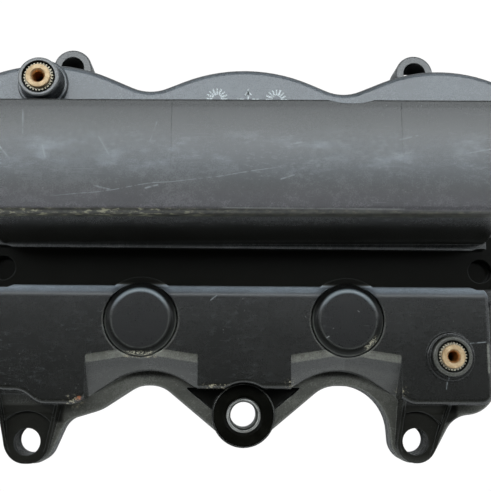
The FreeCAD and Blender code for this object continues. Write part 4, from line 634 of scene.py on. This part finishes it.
def coil(name, start, stop, radius, wire, turns):
    """A spring along the valve's axis, with its coils closer at both ends, in millimetres."""
    made = bmesh.new()
    steps, sides, closing = 34, 10, 0.055
    count = int(turns * steps)
    inset = wire * math.copysign(1, stop - start)
    rings = []
    for i in range(count + 1):
        share = i / count
        angle = 2 * math.pi * turns * share
        eased = share - closing * math.sin(2 * math.pi * share)
        along = start + inset + (stop - start - 2 * inset) * eased
        out = Vector((0, math.cos(angle), math.sin(angle)))
        centre = Vector((along, VALVE_Y, VALVE_Z)) + out * radius
        ring = []
        for j in range(sides):
            turn = 2 * math.pi * j / sides
            spot = centre + out * (wire * math.cos(turn)) + Vector((wire * math.sin(turn), 0, 0))
            ring.append(made.verts.new(spot * MM))
        rings.append(ring)
    for a, b in zip(rings, rings[1:]):
        for j in range(sides):
            made.faces.new((a[j], a[(j + 1) % sides], b[(j + 1) % sides], b[j]))
    made.faces.new(rings[0])
    made.faces.new(list(reversed(rings[-1])))
    bmesh.ops.recalc_face_normals(made, faces=made.faces)
    return mesh_piece(name, made, LOOKS["spring_steel"])


MARKS = mark_look()
mould_marks("mould_mark_year", -12.3, 58.1, False)
mould_marks("mould_mark_arrow", 0.5, 58.1, True)
mould_marks("mould_mark_month", 12.2, 58.1, False)

spring = coil("breather_spring", SPRING_EAST, SPRING_WEST, 3.1, 0.32, 6.5)
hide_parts("valve_spring")
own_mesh(spring)


# ---------------------------------------------------------------- stage

# The strip light fades in over the first two angles and out over the last two, in degrees from
# straight up towards the wavy edge.
STRIP, STRIP_LEVEL = ((12, 18), (21, 30)), 9.5
SOUTH_LEVEL, NORTH_LEVEL, SIDE_LEVEL, BASE_LEVEL = 1.5, 1.3, 0.8, 0.05
FLOOR_GLOW = 1.02


def floor():
    """A pale floor under the cover: the camera sees it evenly white, and sees through it from below."""
    low, reach = cad_box[0][2], 4
    corners = [(-reach, -reach, low), (reach, -reach, low), (reach, reach, low), (-reach, reach, low)]
    mesh = bpy.data.meshes.new("floor")
    mesh.from_pydata(corners, [], [(0, 1, 2, 3)])
    obj = bpy.data.objects.new("floor", mesh)
    bpy.context.scene.collection.objects.link(obj)
    g = Graph("floor_look")
    g.put(g.shader.inputs["Base Color"], (0.55, 0.55, 0.55, 1))
    g.put(g.shader.inputs["Roughness"], 0.9)
    g.put(g.shader.inputs["Specular IOR Level"], 0.0)
    path = g.node("ShaderNodeLightPath")
    glow = g.node("ShaderNodeEmission")
    glow.inputs["Color"].default_value = (1, 1, 1, 1)
    glow.inputs["Strength"].default_value = FLOOR_GLOW
    choice = g.node("ShaderNodeMixShader")
    g.link(path.outputs["Is Camera Ray"], choice.inputs[0])
    g.link(g.shader.outputs[0], choice.inputs[1])
    g.link(glow.outputs[0], choice.inputs[2])
    below = g.node("ShaderNodeMixShader")
    side = g.node("ShaderNodeNewGeometry")
    g.link(side.outputs["Backfacing"], below.inputs[0])
    g.link(choice.outputs[0], below.inputs[1])
    g.link(g.node("ShaderNodeBsdfTransparent").outputs[0], below.inputs[2])
    g.link(below.outputs[0], g.out.inputs[0])
    obj.data.materials.append(g.material)


def world():
    """A long soft light overhead that leans towards the wavy edge, a dark ceiling and paler walls."""
    made = bpy.data.worlds.new("studio")
    made.use_nodes = True
    tree = made.node_tree
    tree.nodes.clear()

    def math_node(operation, a, b=0.0):
        item = tree.nodes.new("ShaderNodeMath")
        item.operation = operation
        for index, source in enumerate((a, b)):
            if isinstance(source, bpy.types.NodeSocket):
                tree.links.new(source, item.inputs[index])
            else:
                item.inputs[index].default_value = source
        return item.outputs[0]

    def ease(source, low, high, to_low, to_high):
        item = tree.nodes.new("ShaderNodeMapRange")
        item.interpolation_type = "SMOOTHSTEP"
        tree.links.new(source, item.inputs[0])
        for index, number in enumerate((low, high, to_low, to_high), start=1):
            item.inputs[index].default_value = number
        return item.outputs[0]

    place = tree.nodes.new("ShaderNodeTexCoord")
    split = tree.nodes.new("ShaderNodeSeparateXYZ")
    tree.links.new(place.outputs["Generated"], split.inputs[0])
    x, y, z = split.outputs
    tilt = math_node("DEGREES", math_node("ARCTAN2", y, z))
    swing = math_node("ABSOLUTE", math_node("DEGREES", math_node("ARCTAN2", x, z)))
    strip = math_node("MULTIPLY", ease(tilt, *STRIP[0], 0, 1), ease(tilt, *STRIP[1], 1, 0))
    strip = math_node("MULTIPLY", strip, ease(swing, 50, 80, 1, 0))
    total = math_node("MULTIPLY", strip, STRIP_LEVEL)
    total = math_node("ADD", total, ease(tilt, -45, -80, 0, SOUTH_LEVEL))
    total = math_node("ADD", total, ease(tilt, 45, 85, 0, NORTH_LEVEL))
    total = math_node("ADD", total, ease(swing, 45, 80, 0, SIDE_LEVEL))
    total = math_node("ADD", total, BASE_LEVEL)
    back = tree.nodes.new("ShaderNodeBackground")
    back.inputs[0].default_value = (0.93, 0.985, 1.02, 1)
    tree.links.new(total, back.inputs[1])
    out = tree.nodes.new("ShaderNodeOutputWorld")
    tree.links.new(back.outputs[0], out.inputs[0])
    bpy.context.scene.world = made
    bpy.context.scene.view_settings.view_transform = "Standard"


def camera():
    data = bpy.data.cameras.new("camera")
    data.lens, data.sensor_width = 55.0, 36.0
    data.clip_start, data.clip_end = 0.01, 20
    obj = bpy.data.objects.new("camera", data)
    obj.location = (-0.011, -0.050, 0.335)
    obj.rotation_euler = Euler([math.radians(a) for a in (9.05, -2.09, 0.195)])
    bpy.context.scene.collection.objects.link(obj)
    bpy.context.scene.camera = obj


floor()
world()
camera()
